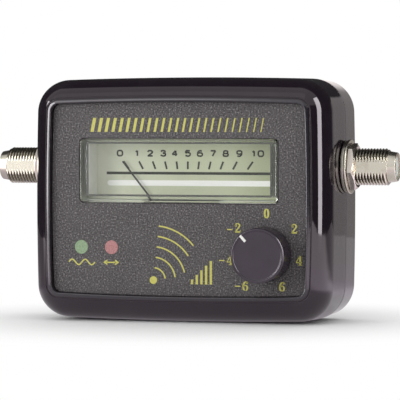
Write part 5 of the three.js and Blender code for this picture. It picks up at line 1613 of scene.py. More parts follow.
@dataclass(frozen=True)
class KnobScale:
    """The numbers round the knob: upright strokes broad, level ones fine.

    A number made of strokes has knots and two pen widths for each. Knots, and the place and
    radius of its ball, are given in heights of the number from its middle.
    """

    height: float = 2.45
    broad: float = 0.50
    fine: float = 0.17
    zero: Pair = (0.30, 0.5)
    minus: Triple = (0.72, 0.3, 0.27)
    two: Strokes = (
        (((-0.24, 0.22), (-0.20, 0.40), (0.0, 0.465), (0.20, 0.30), (0.10, 0.05), (-0.10, -0.20),
          (-0.27, -0.42)), 0.41, 0.204),
        (((-0.28, -0.42), (0.0, -0.41), (0.26, -0.42)), 0.17, 0.36),
        (((0.23, -0.38), (0.26, -0.30), (0.275, -0.22)), 0.204, 0.17),
    )
    four: Strokes = (
        (((0.12, 0.5), (0.12, 0.0), (0.12, -0.48)), 0.5, 0.17),
        (((0.09, 0.47), (-0.10, 0.16), (-0.30, -0.17)), 0.204, 0.17),
        (((-0.32, -0.19), (0.0, -0.19), (0.33, -0.19)), 0.17, 0.2295),
        (((-0.06, -0.47), (0.12, -0.47), (0.30, -0.47)), 0.17, 0.17),
    )
    six: Strokes = (
        (((0.24, 0.36), (0.10, 0.465), (-0.10, 0.36), (-0.21, 0.08), (-0.21, -0.18),
          (-0.14, -0.38), (0.0, -0.465)), 0.5, 0.17),
        (((-0.20, -0.05), (-0.05, 0.09), (0.12, 0.06), (0.22, -0.17), (0.15, -0.39),
          (0.0, -0.465)), 0.45, 0.17),
    )
    balls: tuple[tuple[Digit, Triple], ...] = (
        (Digit.TWO, (-0.20, 0.25, 0.11)), (Digit.SIX, (0.19, 0.33, 0.10))
    )

    def marks(self, pen: Layer, digit: Digit, x: float, z: float) -> list[Part]:
        """One number: zero is a narrow ellipse, minus a level bar, and the others are strokes.

        Args:
            pen: The layer of ink.
            digit: Which number.
            x: Its middle.
            z: Middle of its height.

        Returns:
            Its strokes and its ball.
        """
        if digit is Digit.ZERO:
            t = np.arange(48) * TURN / 48
            size = np.array(self.zero) * self.height - np.array([self.broad, self.fine]) / 2
            path = np.column_stack([np.cos(t), np.sin(t)]) * size + (x, z)
            return [pen.stroke(path, self.broad, self.fine, loop=True)]
        if digit is Digit.MINUS:
            half, *widths = self.minus
            return [pen.stroke(np.array([[x - half, z], [x, z], [x + half, z]]), *widths)]
        strokes = {Digit.TWO: self.two, Digit.FOUR: self.four, Digit.SIX: self.six}[digit]
        marks = [
            pen.stroke(smooth_path(knots) * self.height + (x, z), broad, fine)
            for knots, broad, fine in strokes
        ]
        for owner, (cx, cz, radius) in self.balls:
            if owner is digit:
                centre = (x + cx * self.height, z + cz * self.height)
                marks.append(pen.disc(*centre, radius * self.height, 20))
        return marks


@dataclass(frozen=True)
class DialScale:
    """The wide even numbers on the dial: open strokes through knots, and squarish ovals.

    Knots and ovals are given in widths and heights of the digit from its middle.
    """

    height: float = 1.82
    width: float = 1.82
    pen_width: float = 0.44
    squareness: float = 0.72
    strokes: tuple[tuple[Knots, ...], ...] = (
        (),
        (((-0.30, 0.24), (0.02, 0.5)), ((0.02, 0.5), (0.02, -0.5))),
        (((-0.46, 0.24), (-0.3, 0.46), (0.15, 0.49), (0.46, 0.24), (0.2, -0.06), (-0.46, -0.5)),
         ((-0.5, -0.5), (0.5, -0.5))),
        (((-0.44, 0.34), (-0.1, 0.5), (0.36, 0.42), (0.36, 0.1), (-0.05, 0.03)),
         ((-0.05, 0.03), (0.42, -0.06), (0.46, -0.38), (0.05, -0.51), (-0.46, -0.34))),
        (((0.16, 0.5), (-0.5, -0.2)), ((-0.5, -0.2), (0.5, -0.2)), ((0.2, 0.5), (0.2, -0.5))),
        (((0.42, 0.5), (-0.36, 0.5)), ((-0.36, 0.5), (-0.42, 0.04)),
         ((-0.42, 0.04), (0.0, 0.17), (0.44, 0.0), (0.40, -0.38), (-0.02, -0.51), (-0.46, -0.36))),
        (((0.40, 0.44), (0.0, 0.5), (-0.38, 0.26), (-0.46, -0.18)),),
        (((-0.46, 0.5), (0.48, 0.5)), ((0.46, 0.5), (-0.12, -0.5))),
        (),
        (((-0.40, -0.44), (0.0, -0.5), (0.38, -0.26), (0.46, 0.18)),),
    )
    ovals: tuple[Knots, ...] = (
        ((0, 0, 0.5, 0.5),), (), (), (), (), (), ((0, -0.2, 0.46, 0.3),), (),
        ((0, 0.25, 0.38, 0.25), (0, -0.24, 0.47, 0.26)), ((0, 0.2, 0.46, 0.3),),
    )

    def digit(self, pen: Layer, value: int, x: float, z: float) -> list[Part]:
        """One digit.

        An oval's point at angle t is its middle plus its half sizes times the cosine and the sine
        of t, each raised to the squareness with its sign kept.

        Args:
            pen: The layer of ink.
            value: The digit, from 0 to 9.
            x: Its middle.
            z: Middle of its height.

        Returns:
            Its strokes.
        """
        size = np.array([self.width, self.height]) - self.pen_width
        t = np.arange(40) * TURN / 40 + FEATHER
        around = np.column_stack([np.cos(t), np.sin(t)])
        around = np.sign(around) * np.abs(around) ** self.squareness
        marks = [
            pen.stroke(smooth_path(knots) * size + (x, z), self.pen_width, self.pen_width)
            for knots in self.strokes[value]
        ]
        marks += [
            pen.stroke(
                (around * (a, b) + (cx, cz)) * size + (x, z), self.pen_width, self.pen_width, True
            )
            for cx, cz, a, b in self.ovals[value]
        ]
        return marks


@dataclass(frozen=True)
class FacePanel:
    """The label panel, its printed marks and the two lamp windows."""

    chamfer: float = 0.07
    window_gap: float = 0.36
    ink: float = 0.02
    bars_x: Pair = (-23.65, 23.83)
    bars_z: Pair = (17.2, 20.8)
    bar_count: int = 25
    bar_share: Pair = (0.46, 0.14)
    slant: float = 0.2
    sign_z: float = -16.5
    sign_pen: float = 0.34
    wave: Pair = (-29.6, -22.5)
    wave_size: Pair = (3.55, 0.7)
    arrow: Pair = (-20.2, -15.9)
    arrow_shaft: Triple = (-19.4, -18.05, -16.7)
    arrow_head: Pair = (1.1, 0.75)
    dot: Pair = (-6.6, -20.9)
    dot_radius: float = 1.0
    arc_end: float = 84.0
    arcs: tuple[Pair, ...] = (
        (3.2, 8.0), (5.9, 8.0), (8.6, 14.0), (11.3, 34.0), (14.0, 40.0)
    )
    line: float = 0.36
    ladder: Triple = (3.5, 1.25, 0.62)
    ladder_z: Triple = (-0.9, 0.3, 1.2)
    digits: tuple[tuple[Digit, float, float], ...] = (
        (Digit.ZERO, 23.58, -3.47), (Digit.TWO, 30.91, -7.3), (Digit.FOUR, 32.12, -15.38),
        (Digit.SIX, 27.66, -22.05), (Digit.SIX, 17.98, -22.06), (Digit.MINUS, 15.95, -22.1),
        (Digit.FOUR, 13.86, -15.49), (Digit.MINUS, 11.75, -15.6), (Digit.TWO, 15.99, -7.24),
        (Digit.MINUS, 13.85, -7.65),
    )

    def plate(self) -> Piece:
        """The film's plate, its front edge broken, with holes for window, bush and lamps.

        Its window opening is wider than the case's, so a dark line shows round the window.

        Returns:
            The plate, not made yet.
        """
        outline = LAYOUT.panel()
        thick = LAYOUT.panel_thickness
        rings = np.stack([
            outline.inset(self.chamfer).ring(0), outline.ring(self.chamfer), outline.ring(thick)
        ])
        lamp_radius = LAYOUT.lamp_radius + LAYOUT.seat
        span = (-OVERRUN, OVERRUN)
        cutters = [opening(LAYOUT.window.grown(self.window_gap), *span)]
        cutters += [rod(LAYOUT.bush_hole, *span, *LAYOUT.knob)]
        cutters += [rod(lamp_radius, *span, x, LAYOUT.lamp_z) for _, x in LAYOUT.lamps]
        return Piece(
            "label_panel_film", loft(rings), PANEL_FILM, slot="panel_film",
            replaces=("label_panel",), sharp_deg=25, cuts=(joined(cutters),),
        )

    def top_marks(self, pen: Layer) -> list[Part]:
        """A row of slanted bars along the top that grow thinner to the right.

        Args:
            pen: The layer of ink.

        Returns:
            The bars.
        """
        low, high = self.bars_z
        starts = np.linspace(*self.bars_x, self.bar_count + 1)
        pitch = starts[1] - starts[0]
        widths = np.linspace(*self.bar_share, self.bar_count) * pitch
        lean = (high - low) * self.slant
        marks = []
        for x, width in zip(starts, widths):
            left = np.array([[x, low], [x + lean, high]])
            marks.append(pen.strip(left, left + (width, 0)))
        return marks

    def lamp_marks(self, pen: Layer) -> list[Part]:
        """A wave sign under the green lamp and a double arrow under the red one.

        Args:
            pen: The layer of ink.

        Returns:
            The signs' strokes.
        """
        z = self.sign_z
        x = np.linspace(*self.wave, 60)
        length, height = self.wave_size
        wave = np.column_stack([x, z + height * np.sin((x - self.wave[0]) * TURN / length)])
        shaft = np.array([[x, z] for x in self.arrow_shaft])
        marks = [pen.stroke(path, self.sign_pen, self.sign_pen) for path in (wave, shaft)]
        head_length, half = self.arrow_head
        for end, way in zip(self.arrow, (1, -1)):
            head = np.array([[end, z], [end + head_length * way, z]])
            spread = np.array([[0, FEATHER], [0, half]])
            marks.append(pen.strip(head + spread, head - spread))
        return marks

    def arc_marks(self, pen: Layer) -> list[Part]:
        """A dot with quarter arcs fanning out from it, and a ladder of rising bars beside it.

        Args:
            pen: The layer of ink.

        Returns:
            The dot, the arcs and the bars.
        """
        x, z = self.dot
        marks = [pen.disc(x, z, self.dot_radius)]
        for r, start in self.arcs:
            t = np.radians(np.linspace(start, self.arc_end, 40))
            path = np.column_stack([x + r * np.cos(t), z + r * np.sin(t)])
            marks.append(pen.stroke(path, self.line, self.line))
        first, pitch, width = self.ladder
        foot, head, rise = self.ladder_z
        for i in range(5):
            left = first + i * pitch
            edge = np.array([[left, z + foot], [left, z + head + rise * i]])
            marks.append(pen.strip(edge, edge + (width, 0)))
        return marks

    def prints(self) -> Piece:
        """All the yellow marks as one thin layer.

        Returns:
            The layer, not made yet.
        """
        pen = Layer(-self.ink, PRINT_BACK)
        marks = self.top_marks(pen) + self.lamp_marks(pen) + self.arc_marks(pen)
        for place in self.digits:
            marks += KnobScale().marks(pen, *place)
        return Piece("panel_print", joined(marks), YELLOW_INK, sharp_deg=40)

    def lamp_window(self, name: str, x: float, finish: Finish) -> Piece:
        """One tinted window, its edge a little rounded."""
        profile = softened([
            (0, 0, 0), (LAYOUT.lamp_radius, 0, 0.08),
            (LAYOUT.lamp_radius, LAYOUT.panel_thickness, 0), (0, LAYOUT.panel_thickness, 0),
        ])
        return Piece(
            f"lamp_window_{name}_film", turned(profile, 56).moved((x, 0, LAYOUT.lamp_z)), finish,
            slot=f"film_{name}", replaces=(f"lamp_window_{name}",),
        )

    def build(self) -> None:
        """Makes the plate, its print and the lamp windows; the lamps keep their solids."""
        self.plate().build()
        self.prints().build()
        for (name, x), finish in zip(LAYOUT.lamps, (GREEN_FILM, RED_FILM)):
            self.lamp_window(name, x, finish).build()
        dress(GREEN_LAMP, "lamp_green")
        dress(RED_LAMP, "lamp_red")


@dataclass(frozen=True)
class Meter:
    """The clear cover, the dial's print and the movement behind it."""

    proud: float = 0.8
    bevel: float = 0.45
    face: float = 1.2
    side_wall: float = 1.5
    bottom_wall: float = 1.5
    top_wall: float = 0.7
    flange: Pair = (2.4, 3.6)
    dial: float = 8.7
    tick_z: Pair = (7.5, 9.5)
    fan_z: float = -14.8
    fan_step_deg: float = 7.1
    fan_stretch: float = 1.011
    fan_shift: float = 0.11
    number_z: float = 11.6
    numbers: tuple[float, ...] = (
        -18.4, -13.66, -10.13, -6.64, -3.42, 0.1, 3.4, 6.93, 10.35, 14.02
    )
    ten: Pair = (17.95, 19.75)
    line: tuple[float, float, float, float] = (-22.05, 22.9, 6.08, 6.78)
    bar: tuple[float, float, float, float] = (-21.85, 22.85, 3.87, 0.72)
    # Width, front and back of the dark ring that paints the hollow's shade line.
    seal: Triple = (0.46, 0.55, 1.1)
    surround: Triple = (0.3, 1.2, 8.6)
    # Thickness and extra left inset of the paler rim that paints the hollow's highlight line.
    rim: Pair = (0.2, 0.34)
    foot: Box = Box(28.2, -1.6, 18.0, 0.6)
    leg: Pair = (11.5, -23.4)
    hollow_inset: float = 0.35
    hollow_round: float = 0.1
    draft: float = 0.12
    tick_pen: float = 0.5
    ink: float = 0.02

    def cover(self) -> Piece:
        """The clear moulding.

        Its rings run from the hollow's floor back along the hollow, out over the flange, and
        forward along the window's side to its bevelled front.

        Returns:
            The moulding, not made yet.
        """
        window, room = LAYOUT.window, self.room()
        front, back = self.flange
        floor = -self.proud + self.face
        rings = [room.grown(-self.hollow_inset).ring(floor)]
        rings += [
            room.grown(-self.hollow_round * s).ring(floor + self.hollow_round * h)
            for s, h in rounding(5)[::-1]
        ]
        rings += [room.grown(self.draft).ring(back), self.foot.ring(back), self.foot.ring(front)]
        rings += [window.ring(front)]
        rings += [
            window.grown(-self.bevel * s).ring(-self.proud + self.bevel * h)
            for s, h in rounding(6)
        ]
        rings += [window.grown(-self.bevel - 0.1).ring(-self.proud)]
        half, low = self.leg
        leg = bar((-half, front, low), (half, back - FEATHER, self.foot.low_z - 0.005))
        return Piece(
            "meter_cover_clear", joined([loft(np.stack(rings)), leg]), CLEAR_COVER,
            slot="clear_cover", replaces=("meter_cover",),
        )

    def room(self) -> Box:
        """The hollow behind the window."""
        window = LAYOUT.window
        return Box(
            window.half_width - self.side_wall, window.low_z + self.bottom_wall,
            window.high_z - self.top_wall, 0.5,
        )

    def cover_seal(self) -> Part:
        """A thin dark ring in the hollow's corner behind the window's face: a painted shade line.

        Returns:
            The ring.
        """
        thick, front, back = self.seal
        outer = self.room().grown(-0.03)
        inner = outer.grown(-thick)
        return loft(
            np.stack([outer.ring(front), outer.ring(back), inner.ring(back), inner.ring(front)]),
            wrap_rows=True,
        )

    def dial_surround(self, front: float, back: float, inset: float) -> Part:
        """Two side walls between the dark shade ring and the dial, the left one inset by so much
        more.

        Args:
            front: Depth of the walls' front.
            back: Depth of their back.
            inset: How much further in the left wall reaches.

        Returns:
            Both walls.
        """
        room = self.room().grown(-0.05)
        outer = room.half_width
        inner = outer - self.surround[0]
        low, high = room.low_z + 0.04, room.high_z - 0.04
        return joined([
            bar((-outer, front, low), (inset - inner, back, high)),
            bar((inner, front, low), (outer, back, high)),
        ])

    def fan(self, i: int, z: float) -> float:
        """Sideways place of scale mark i at a height, on lines that meet below the dial."""
        spread = (z - self.fan_z) * math.tan(math.radians(self.fan_step_deg * (i - 5)))
        return spread * self.fan_stretch + self.fan_shift

    def dial_marks(self) -> tuple[list[Part], Part]:
        """The dial's dark marks and numbers, and its white bar.

        Returns:
            The dark marks and the white bar.
        """
        pen = Layer(self.dial - self.ink, self.dial + PRINT_BACK)
        low, high = self.tick_z
        scale = DialScale()
        dark = []
        for i in range(11):
            path = np.array([[self.fan(i, z), z] for z in (low, (low + high) / 2, high)])
            dark.append(pen.stroke(path, self.tick_pen, self.tick_pen))
        for i, x in enumerate(self.numbers):
            dark += scale.digit(pen, i, x, self.number_z)
        for i, x in zip((1, 0), self.ten):
            dark += scale.digit(pen, i, x, self.number_z)
        left, right, low, high = self.line
        edge = np.array([[left, low], [right, low]])
        dark.append(pen.strip(edge + (0, high - low), edge))
        t = np.linspace(-QUARTER, QUARTER, 17)
        left, right, middle, radius = self.bar
        half, centre = (right - left) / 2, (right + left) / 2
        cap = np.column_stack([half - radius + radius * np.cos(t), radius * np.sin(t)])
        outline = np.vstack([cap, cap[::-1] * (-1, 1)]) + (centre, middle)
        return dark, slab(outline, pen.front, pen.back)

    def build(self) -> None:
        """Makes the cover and the dial's print; dial, housing and movement keep their solids."""
        self.cover().build()
        dark, white = self.dial_marks()
        Piece("dial_marks", joined(dark), DARK_INK, sharp_deg=40).build()
        Piece("dial_bar", white, WHITE_INK, sharp_deg=40).build()
        # A dark ring paints the shade line round the hollow's edge.
        Piece("cover_seal", self.cover_seal(), SHADE_RING_FINISH).build()
        edge, back = self.surround[1:]
        thick, inset = self.rim
        walls = self.dial_surround(edge + thick + FEATHER, back, 0.0)
        Piece("dial_surround", walls, SURROUND_PLASTIC, sharp_deg=20).build()
        # Paler rims on the walls' front edges paint the highlight line along the hollow's edge.
        highlight_rims = self.dial_surround(edge, edge + thick, inset)
        Piece("dial_surround_rim", highlight_rims, MARK_PLASTIC, sharp_deg=20).build()
        dress(DIAL_CARD, "dial_plate")
        dress(HOUSING_PLASTIC, "meter_housing")
        dress(NEEDLE_PAINT, "needle")
        dress(STEEL, "staff_front", "staff_rear", "iron_ring", "bridge_front", "bridge_rear")
        dress(BRASS, "jewel_screw_front", "jewel_screw_rear", "hairspring_front",
              "hairspring_rear", "meter_pin_left", "meter_pin_right")
        dress(MAGNET_METAL, "core_magnet")
        dress(COPPER_WIRE, "moving_coil")


@dataclass(frozen=True)
class Knob:
    """The push-on knob with its white mark; the potentiometer under it keeps its solids."""

    radius: float = 7.1
    face_radius: float = 6.6
    front: float = 7.6
    dish: float = 0.25
    rim: float = 0.35
    shoulder: float = 0.55
    panel_gap: float = 0.6
    wall: float = 1.0
    face_thickness: float = 1.4
    hub_radius: float = 4.3
    hub_back: float = -3.06
    bore: float = 3.06
    bore_end: float = -5.65
    mark: Pair = (2.4, 0.68)
    mark_inset: float = 0.35
    mark_depth: float = 0.5
    mark_edge: float = 0.07
    slot_depth: float = 0.55
    clearance: float = 0.05

    def body(self) -> Part:
        """The knob turned round its axis: dished face, rounded rim, plain side, hollow back.

        Returns:
            The knob, its axis at the drawing's origin.
        """
        face = -self.front
        inner = self.face_radius - self.rim
        profile = softened([
            (0, face + self.dish, 0),
            (inner - 0.1, face + self.dish, 0.11),
            (inner + self.rim * 0.4, face, 0.11),
            (self.face_radius + 0.1, face, 0.11),
            (self.radius - 0.06, face + self.shoulder * 0.75, 0.2),
            (self.radius, -self.panel_gap, 0.15),
            (self.radius - self.wall, -self.panel_gap, 0.1),
            (self.radius - self.wall, face + self.face_thickness, 0.2),
            (self.hub_radius, face + self.face_thickness, 0.1),
            (self.hub_radius, self.hub_back, 0.1),
            (self.bore, self.hub_back, 0.1),
            (self.bore, self.bore_end, 0),
            (0, self.bore_end, 0),
        ], steps=4)
        return turned(profile, 128)

    def seat(self, part: Part) -> Part:
        """A part turned clockwise from straight up to the knob's rest place, and put there.

        Args:
            part: The part, its axis at the drawing's origin.

        Returns:
            The part in its place.
        """
        x, z = LAYOUT.knob
        a = math.radians(LAYOUT.knob_rest_deg)
        turn = [[math.cos(a), 0, math.sin(a)], [0, 1, 0], [-math.sin(a), 0, math.cos(a)]]
        return part.moved((x, 0, z), np.array(turn))

    def build(self) -> None:
        """Makes knob and mark and dresses shaft, nut and potentiometer."""
        length, width = self.mark
        half = width / 2
        outer = self.radius - self.mark_inset
        inner = self.radius - length
        face = -self.front
        wide, foot, past = half + self.clearance, inner - self.clearance, self.radius + OVERRUN
        slot = bar((-wide, face - OVERRUN, foot), (wide, face + self.slot_depth, past))
        Piece(
            "knob_body", self.seat(self.body()), KNOB_PLASTIC, "knob", "knob_black", ("knob",),
            sharp_deg=30, cuts=(self.seat(slot),),
        ).build()
        edge = self.mark_edge
        low, high = face + self.dish / 2, face + self.mark_depth
        rings = []
        for inset, y in ((edge, low), (0, low + edge), (0, high)):
            x, z0, z1 = half - inset, inner + inset, outer - inset
            rings.append([(-x, y, z0), (x, y, z0), (x, y, z1), (-x, y, z1)])
        Piece(
            "knob_mark", self.seat(loft(np.array(rings))), MARK_PLASTIC, "knob", "pointer_white",
            ("knob_pointer",), sharp_deg=20,
        ).build()
        dress(STEEL, "pot_shaft", "pot_can")
        dress(BRASS, "pot_wiper", "pot_bush", "pot_washer", "pot_nut")
        dress(PHENOLIC_SHEET, "pot_track")


class Side(Enum):
    """Which side of the case a socket is on: the sign of x."""

    LEFT = -1
    RIGHT = 1


@dataclass(frozen=True)
class Socket:
    """One threaded coaxial socket with its washers and nut, drawn with its axis outwards."""

    side: Side
    face_x: float = 40.2
    crest: float = 4.76
    milled_flat: float = 4.06
    root: float = 4.25
    pitch: float = 0.794
    thread_end: float = 11.6
    reach: float = 13.7
    nose: Pair = (4.05, 3.7)
    bore: float = 3.15
    flange: float = 5.9
    tail: float = 7.0
    nut_flats: float = 11.0
    nut: Pair = (1.5, 3.2)
    nut_turn_deg: float = -13.0
    washer_bore: float = 4.91
    lock_washer: Triple = (6.75, 0.05, 0.80)
    flat_washer: Triple = (7.0, 0.85, 1.45)
    split: float = 0.9
    thread_cover: float = 1.2
    rows_a_turn: int = 14
    wave_gain: float = 1.35
    wave_cut: float = 0.12
    run_out: float = 0.6
    shank: float = 0.85
    shank_back: Pair = (-3.45, -2.25)
    chamfer_circle: float = 0.965
    chamfer_deg: float = 30.0
    bore_chamfer: Pair = (0.3, 0.42)
    core: Triple = (0.95, 3.1, 13.2)
    core_dish: Triple = (1.7, 1.35, 0.25)
    contact_radii: Pair = (0.85, 0.45)
    contact_span: Triple = (-9.4, 12.8, 8.8)

    def seat(self, part: Part) -> Part:
        """A part drawn round the y axis brought to the socket's place on the case."""
        sign = self.side.value
        return part.moved((sign * self.face_x, *SOCKET_AXIS), sideways(sign))

    def barrel(self) -> Part:
        """The barrel with a helical thread.

        Along the thread the radius is root + depth * w, where w is a clipped triangle wave of the
        place along the axis less the turn's share of the pitch, faded out at its outer end. Front
        and back are milled flat: there the radius is at most the flat's distance from the axis
        over |sine of the turn|.

        Returns:
            The barrel.
        """
        columns = 128
        angles = np.arange(columns) * TURN / columns
        start = self.nut[1] - self.thread_cover
        along = np.arange(start, self.thread_end, self.pitch / self.rows_a_turn)
        phase = along[:, None] / self.pitch - angles / TURN
        wave = 1 - np.abs(2 * (phase % 1) - 1)
        wave = np.clip(wave * self.wave_gain - self.wave_cut, 0, 1)
        fade = np.clip((self.thread_end - along) / (self.pitch * self.run_out), 0, 1)[:, None]
        radius = self.root + (self.crest - self.root) * wave * fade
        sine = np.maximum(np.abs(np.sin(angles)), FEATHER)
        radius = np.minimum(radius, self.milled_flat / sine)
        shank, flange = self.bore + self.shank, self.flange
        back, front = self.shank_back
        profile = softened([
            (self.root, self.thread_end, 0), (self.nose[0], self.thread_end, 0.05),
            (self.nose[1], self.reach, 0.16), (self.bore, self.reach, 0.12),
            (self.bore, -self.tail, 0.1), (shank, -self.tail, 0.1), (shank, back, 0),
            (flange, back, 0.1), (flange, front, 0.1), (self.crest, front, 0),
            (self.crest, start - 0.1, 0),
        ], steps=4)
        plain = np.broadcast_to(profile[:, :1], (len(profile), columns))
        radius = np.vstack([radius, plain])
        axial = np.concatenate([along, profile[:, 1]])[:, None]
        return loft(wheeled(radius, axial, angles), wrap_rows=True)

    def hex_nut(self) -> Part:
        """A hexagon nut, both faces chamfered by a cone.

        The radius at angle t is half the flats over cos(t from the middle of a flat); where it
        passes the chamfer's circle, the face drops by the difference times tan 30 degrees.

        Returns:
            The nut.
        """
        columns, corner = 144, TURN / 6
        t = np.arange(columns) * TURN / columns
        turn = math.radians(self.nut_turn_deg)
        hexagon = self.nut_flats / 2 / np.cos((t % corner) - corner / 2)
        circle = np.full(columns, self.nut_flats / 2 * self.chamfer_circle)
        drop = (hexagon - circle) * math.tan(math.radians(self.chamfer_deg))
        low, high = self.nut
        back, front = self.bore_chamfer
        bore = np.full(columns, self.washer_bore - 0.1)
        rows = [
            (bore, low + back), (bore + back, low), (circle, low), (hexagon, low + drop * 0.25),
            (hexagon, high - drop), (circle, high), (bore + front, high), (bore, high - front),
        ]
        rings = np.stack([
            np.stack([r * np.cos(t + turn), y + 0 * t, r * np.sin(t + turn)], axis=-1)
            for r, y in rows
        ])
        return loft(rings, wrap_rows=True)

    def split_washer(self) -> Part:
        """A spring washer: a section with rounded corners swept round all but a slit at the top.

        At radius r the slit of width s takes the angle asin(s / 2r) on either side.

        Returns:
            The washer.
        """
        outer, low, high = self.lock_washer
        inner = self.washer_bore
        section = softened(
            [(inner, low, 0.1), (outer, low, 0.16), (outer, high, 0.16), (inner, high, 0.1)],
            loop=True,
        )
        r, a = section[:, 0], section[:, 1]
        slit = np.arcsin(self.split / 2 / r)
        share = np.linspace(0, 1, 97)[:, None]
        t = slit + share * (TURN - 2 * slit)
        return loft(wheeled(r, a, t))

    def plain_washer(self) -> Part:
        """A flat washer with rounded edges.

        Returns:
            The washer.
        """
        inner, (outer, low, high) = self.washer_bore, self.flat_washer
        section = [
            (inner, low, 0.08), (outer, low, 0.18), (outer, high, 0.22), (inner, high, 0.08)
        ]
        return turned(softened(section, loop=True, steps=4), 112, loop=True)

    def insulator(self) -> Part:
        """The plastic core, its face a little dished round the contact.

        Returns:
            The core.
        """
        (bore, outer, face), (rim, floor, depth) = self.core, self.core_dish
        section = [
            (bore, -self.tail, 0.05), (outer, -self.tail, 0.1), (outer, face, 0.25),
            (rim, face, 0.1), (floor, face - depth, 0.1), (bore, face - depth, 0.05),
        ]
        return turned(softened(section, loop=True), 72, loop=True)

    def contact(self) -> Part:
        """The hollow centre contact.

        Returns:
            The contact.
        """
        (outer, bore), (back, front, floor) = self.contact_radii, self.contact_span
        section = [
            (0, back, 0), (outer, back, 0.1), (outer, front, 0.12), (bore, front, 0.1),
            (bore, floor, 0), (0, floor, 0),
        ]
        return turned(softened(section), 40)

    def build(self) -> None:
        """Makes the socket's six pieces."""
        name = self.side.name.lower()
        table = (
            ("socket_barrel", self.barrel(), NICKEL, "nickel", 50.0),
            ("socket_insulator", self.insulator(), INSULATOR_PLASTIC, "insulator", 32.0),
            ("socket_contact", self.contact(), BRASS, "brass", 32.0),
            ("lock_washer", self.split_washer(), NICKEL, "nickel", 32.0),
            ("flat_washer", self.plain_washer(), NICKEL, "nickel", 32.0),
            ("socket_nut", self.hex_nut(), NUT_NICKEL, "nickel", 20.0),
        )
        for kind, part, finish, slot, sharp in table:
            node = f"{kind}_{name}"
            Piece(
                f"{node}_turned", self.seat(part), finish, slot=slot, replaces=(node,),
                sharp_deg=sharp,
            ).build()


@dataclass(frozen=True)
class Board:
    """The circuit board and what stands on it, which keep their solids."""

    finishes: tuple[tuple[Finish, tuple[str, ...]], ...] = (
        (BOARD_LAMINATE, ("circuit_board",)),
        (STEEL, ("board_screw_1", "board_screw_2")),
        (BLACK_PLASTIC, ("buzzer", "amplifier_chip", "transistor", "radio_choke")),
        (BLUE_SLEEVE, ("capacitor_left", "capacitor_right")),
    )

    def build(self) -> None:
        """Dresses the board's nodes."""
        for finish, nodes in self.finishes:
            dress(finish, *nodes)


# Studio


@dataclass(frozen=True)
class Softbox:
    """A soft light that faces the object."""

    name: str
    azimuth: float
    elevation: float
    distance: float
    size: Pair
    radiance: float
    colour: Colour = (1.0, 1.0, 1.0)
    matt: bool = True
    gloss: bool = True

    def build(self, target: Vector) -> None:
        """Puts the light up; its power is pi times its area times its radiance.

        Args:
            target: What it faces.
        """
        a, e = math.radians(self.azimuth), math.radians(self.elevation)
        away = Vector((math.sin(a) * math.cos(e), -math.cos(a) * math.cos(e), math.sin(e)))
        light = bpy.data.lights.new(self.name, "AREA")
        light.shape, light.color = "RECTANGLE", self.colour
        light.size, light.size_y = self.size
        light.energy = math.pi * self.size[0] * self.size[1] * self.radiance
        holder = bpy.data.objects.new(self.name, light)
        holder.location = target + away * self.distance
        holder.rotation_euler = away.to_track_quat("Z", "Y").to_euler()
        holder.visible_camera = False
        holder.visible_diffuse = self.matt
        holder.visible_glossy = self.gloss
        holder.visible_transmission = self.gloss
        bpy.context.scene.collection.objects.link(holder)


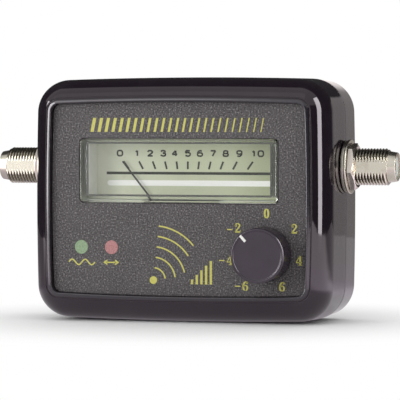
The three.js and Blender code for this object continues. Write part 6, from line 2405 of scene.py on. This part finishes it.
@dataclass(frozen=True)
class Studio:
    """Camera, floor, background and lights."""

    camera_place: Triple = (0.21783, -0.70998, 0.05369)
    camera_aim: Triple = (0.002656, 0.000199, 0.031355)
    camera_up: Triple = (-0.0081, 0.0282, 0.9996)
    lens: float = 257.25
    sensor: float = 36.0
    floor_half: float = 0.45
    target: Triple = (0.0, 0.0, 0.032)
    matt_level: float = 0.88
    dark: float = 0.04
    ceiling: float = 0.72
    wall: Triple = (0.33, 0.06, 0.8)
    warmth: Pair = (0.07, 0.085)
    lights: tuple[Softbox, ...] = (
        Softbox("strip_light", 78.0, 20.0, 0.47, (0.145, 0.44), 8.7, matt=False),
        Softbox("key_light", -32.0, 14.0, 0.75, (0.22, 0.22), 8.0, gloss=False),
        Softbox("left_light", -55.5, 14.0, 0.60, (0.42, 0.36), 8.5, matt=False),
        Softbox("top_light", -35.0, 36.0, 0.62, (0.30, 0.20), 1.8, matt=False),
    )

    def camera(self) -> None:
        """The camera at the photograph's place and angle."""
        back = (Vector(self.camera_place) - Vector(self.camera_aim)).normalized()
        right = Vector(self.camera_up).cross(back).normalized()
        up = back.cross(right)
        data = bpy.data.cameras.new("camera")
        data.lens, data.sensor_width, data.clip_start = self.lens, self.sensor, 0.01
        holder = bpy.data.objects.new("camera", data)
        turn = Matrix((right, up, back)).transposed().to_4x4()
        holder.matrix_world = Matrix.Translation(Vector(self.camera_place)) @ turn
        bpy.context.scene.collection.objects.link(holder)
        bpy.context.scene.camera = holder

    def floor(self) -> None:
        """A plain pale floor that the object stands on."""
        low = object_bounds()[0].z
        reach = self.floor_half
        mesh = bpy.data.meshes.new("floor")
        corners = [(-reach, -reach, low), (reach, -reach, low), (reach, reach, low),
                   (-reach, reach, low)]
        mesh.from_pydata(corners, [], [(0, 1, 2, 3)])
        mesh.materials.append(FloorPaper("floor_paper").material())
        paper = bpy.data.objects.new("floor", mesh)
        bpy.context.scene.collection.objects.link(paper)
        paper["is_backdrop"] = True

    def surroundings(self) -> None:
        """White background, soft even light for matt surfaces and a room for glossy ones."""
        world = bpy.data.worlds.new("studio")
        bpy.context.scene.world = world
        world.use_nodes = True
        graph = Graph(world.node_tree)
        place = graph.add("ShaderNodeTexCoord", output="Generated")
        x, y, z = graph.split(place)
        ceiling = z.step(0.34, 0.46) * y.step(0.07, 0.02) * self.ceiling
        window = x.step(-0.80, -0.70) * x.step(0.28, 0.20) * y.step(-0.2, -0.4)
        beside = y.step(0.78, 0.90) * x.step(-0.08, 0.06) * z.step(0.235, 0.205)
        behind = beside.most(y.step(0.966, 0.970))
        plain, above, aside = self.wall
        wall = plain + z.step(-0.03, 0.02) * above + x.step(0.04, -0.14) * aside
        room = self.dark + ceiling.most(window) + behind * wall
        glossy = graph.ray("Glossy")
        clear = graph.ray("Camera").most(graph.ray("Transmission"))
        level = self.matt_level * (1.0 - glossy) + room * glossy
        strength = level * (1.0 - clear) + clear
        less_green, less_blue = (1.0 - behind * glossy * share for share in self.warmth)
        colour = graph.merged(strength, strength * less_green, strength * less_blue)
        light = graph.add("ShaderNodeBackground", values={"Color": colour, "Strength": 1.0})
        graph.add("ShaderNodeOutputWorld", values={"Surface": light})

    def build(self) -> None:
        """Sets up the whole studio."""
        bpy.context.scene.view_settings.view_transform = "Standard"
        self.camera()
        self.floor()
        self.surroundings()
        for light in self.lights:
            light.build(Vector(self.target))


def main() -> None:
    """Builds the studio and the object in order."""
    logging.basicConfig(level=logging.INFO, format="%(message)s", stream=sys.stdout)
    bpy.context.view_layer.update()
    Studio().build()
    Case().build()
    FacePanel().build()
    Meter().build()
    Knob().build()
    for side in Side:
        Socket(side).build()
    Board().build()


if __name__ == "__main__":
    main()
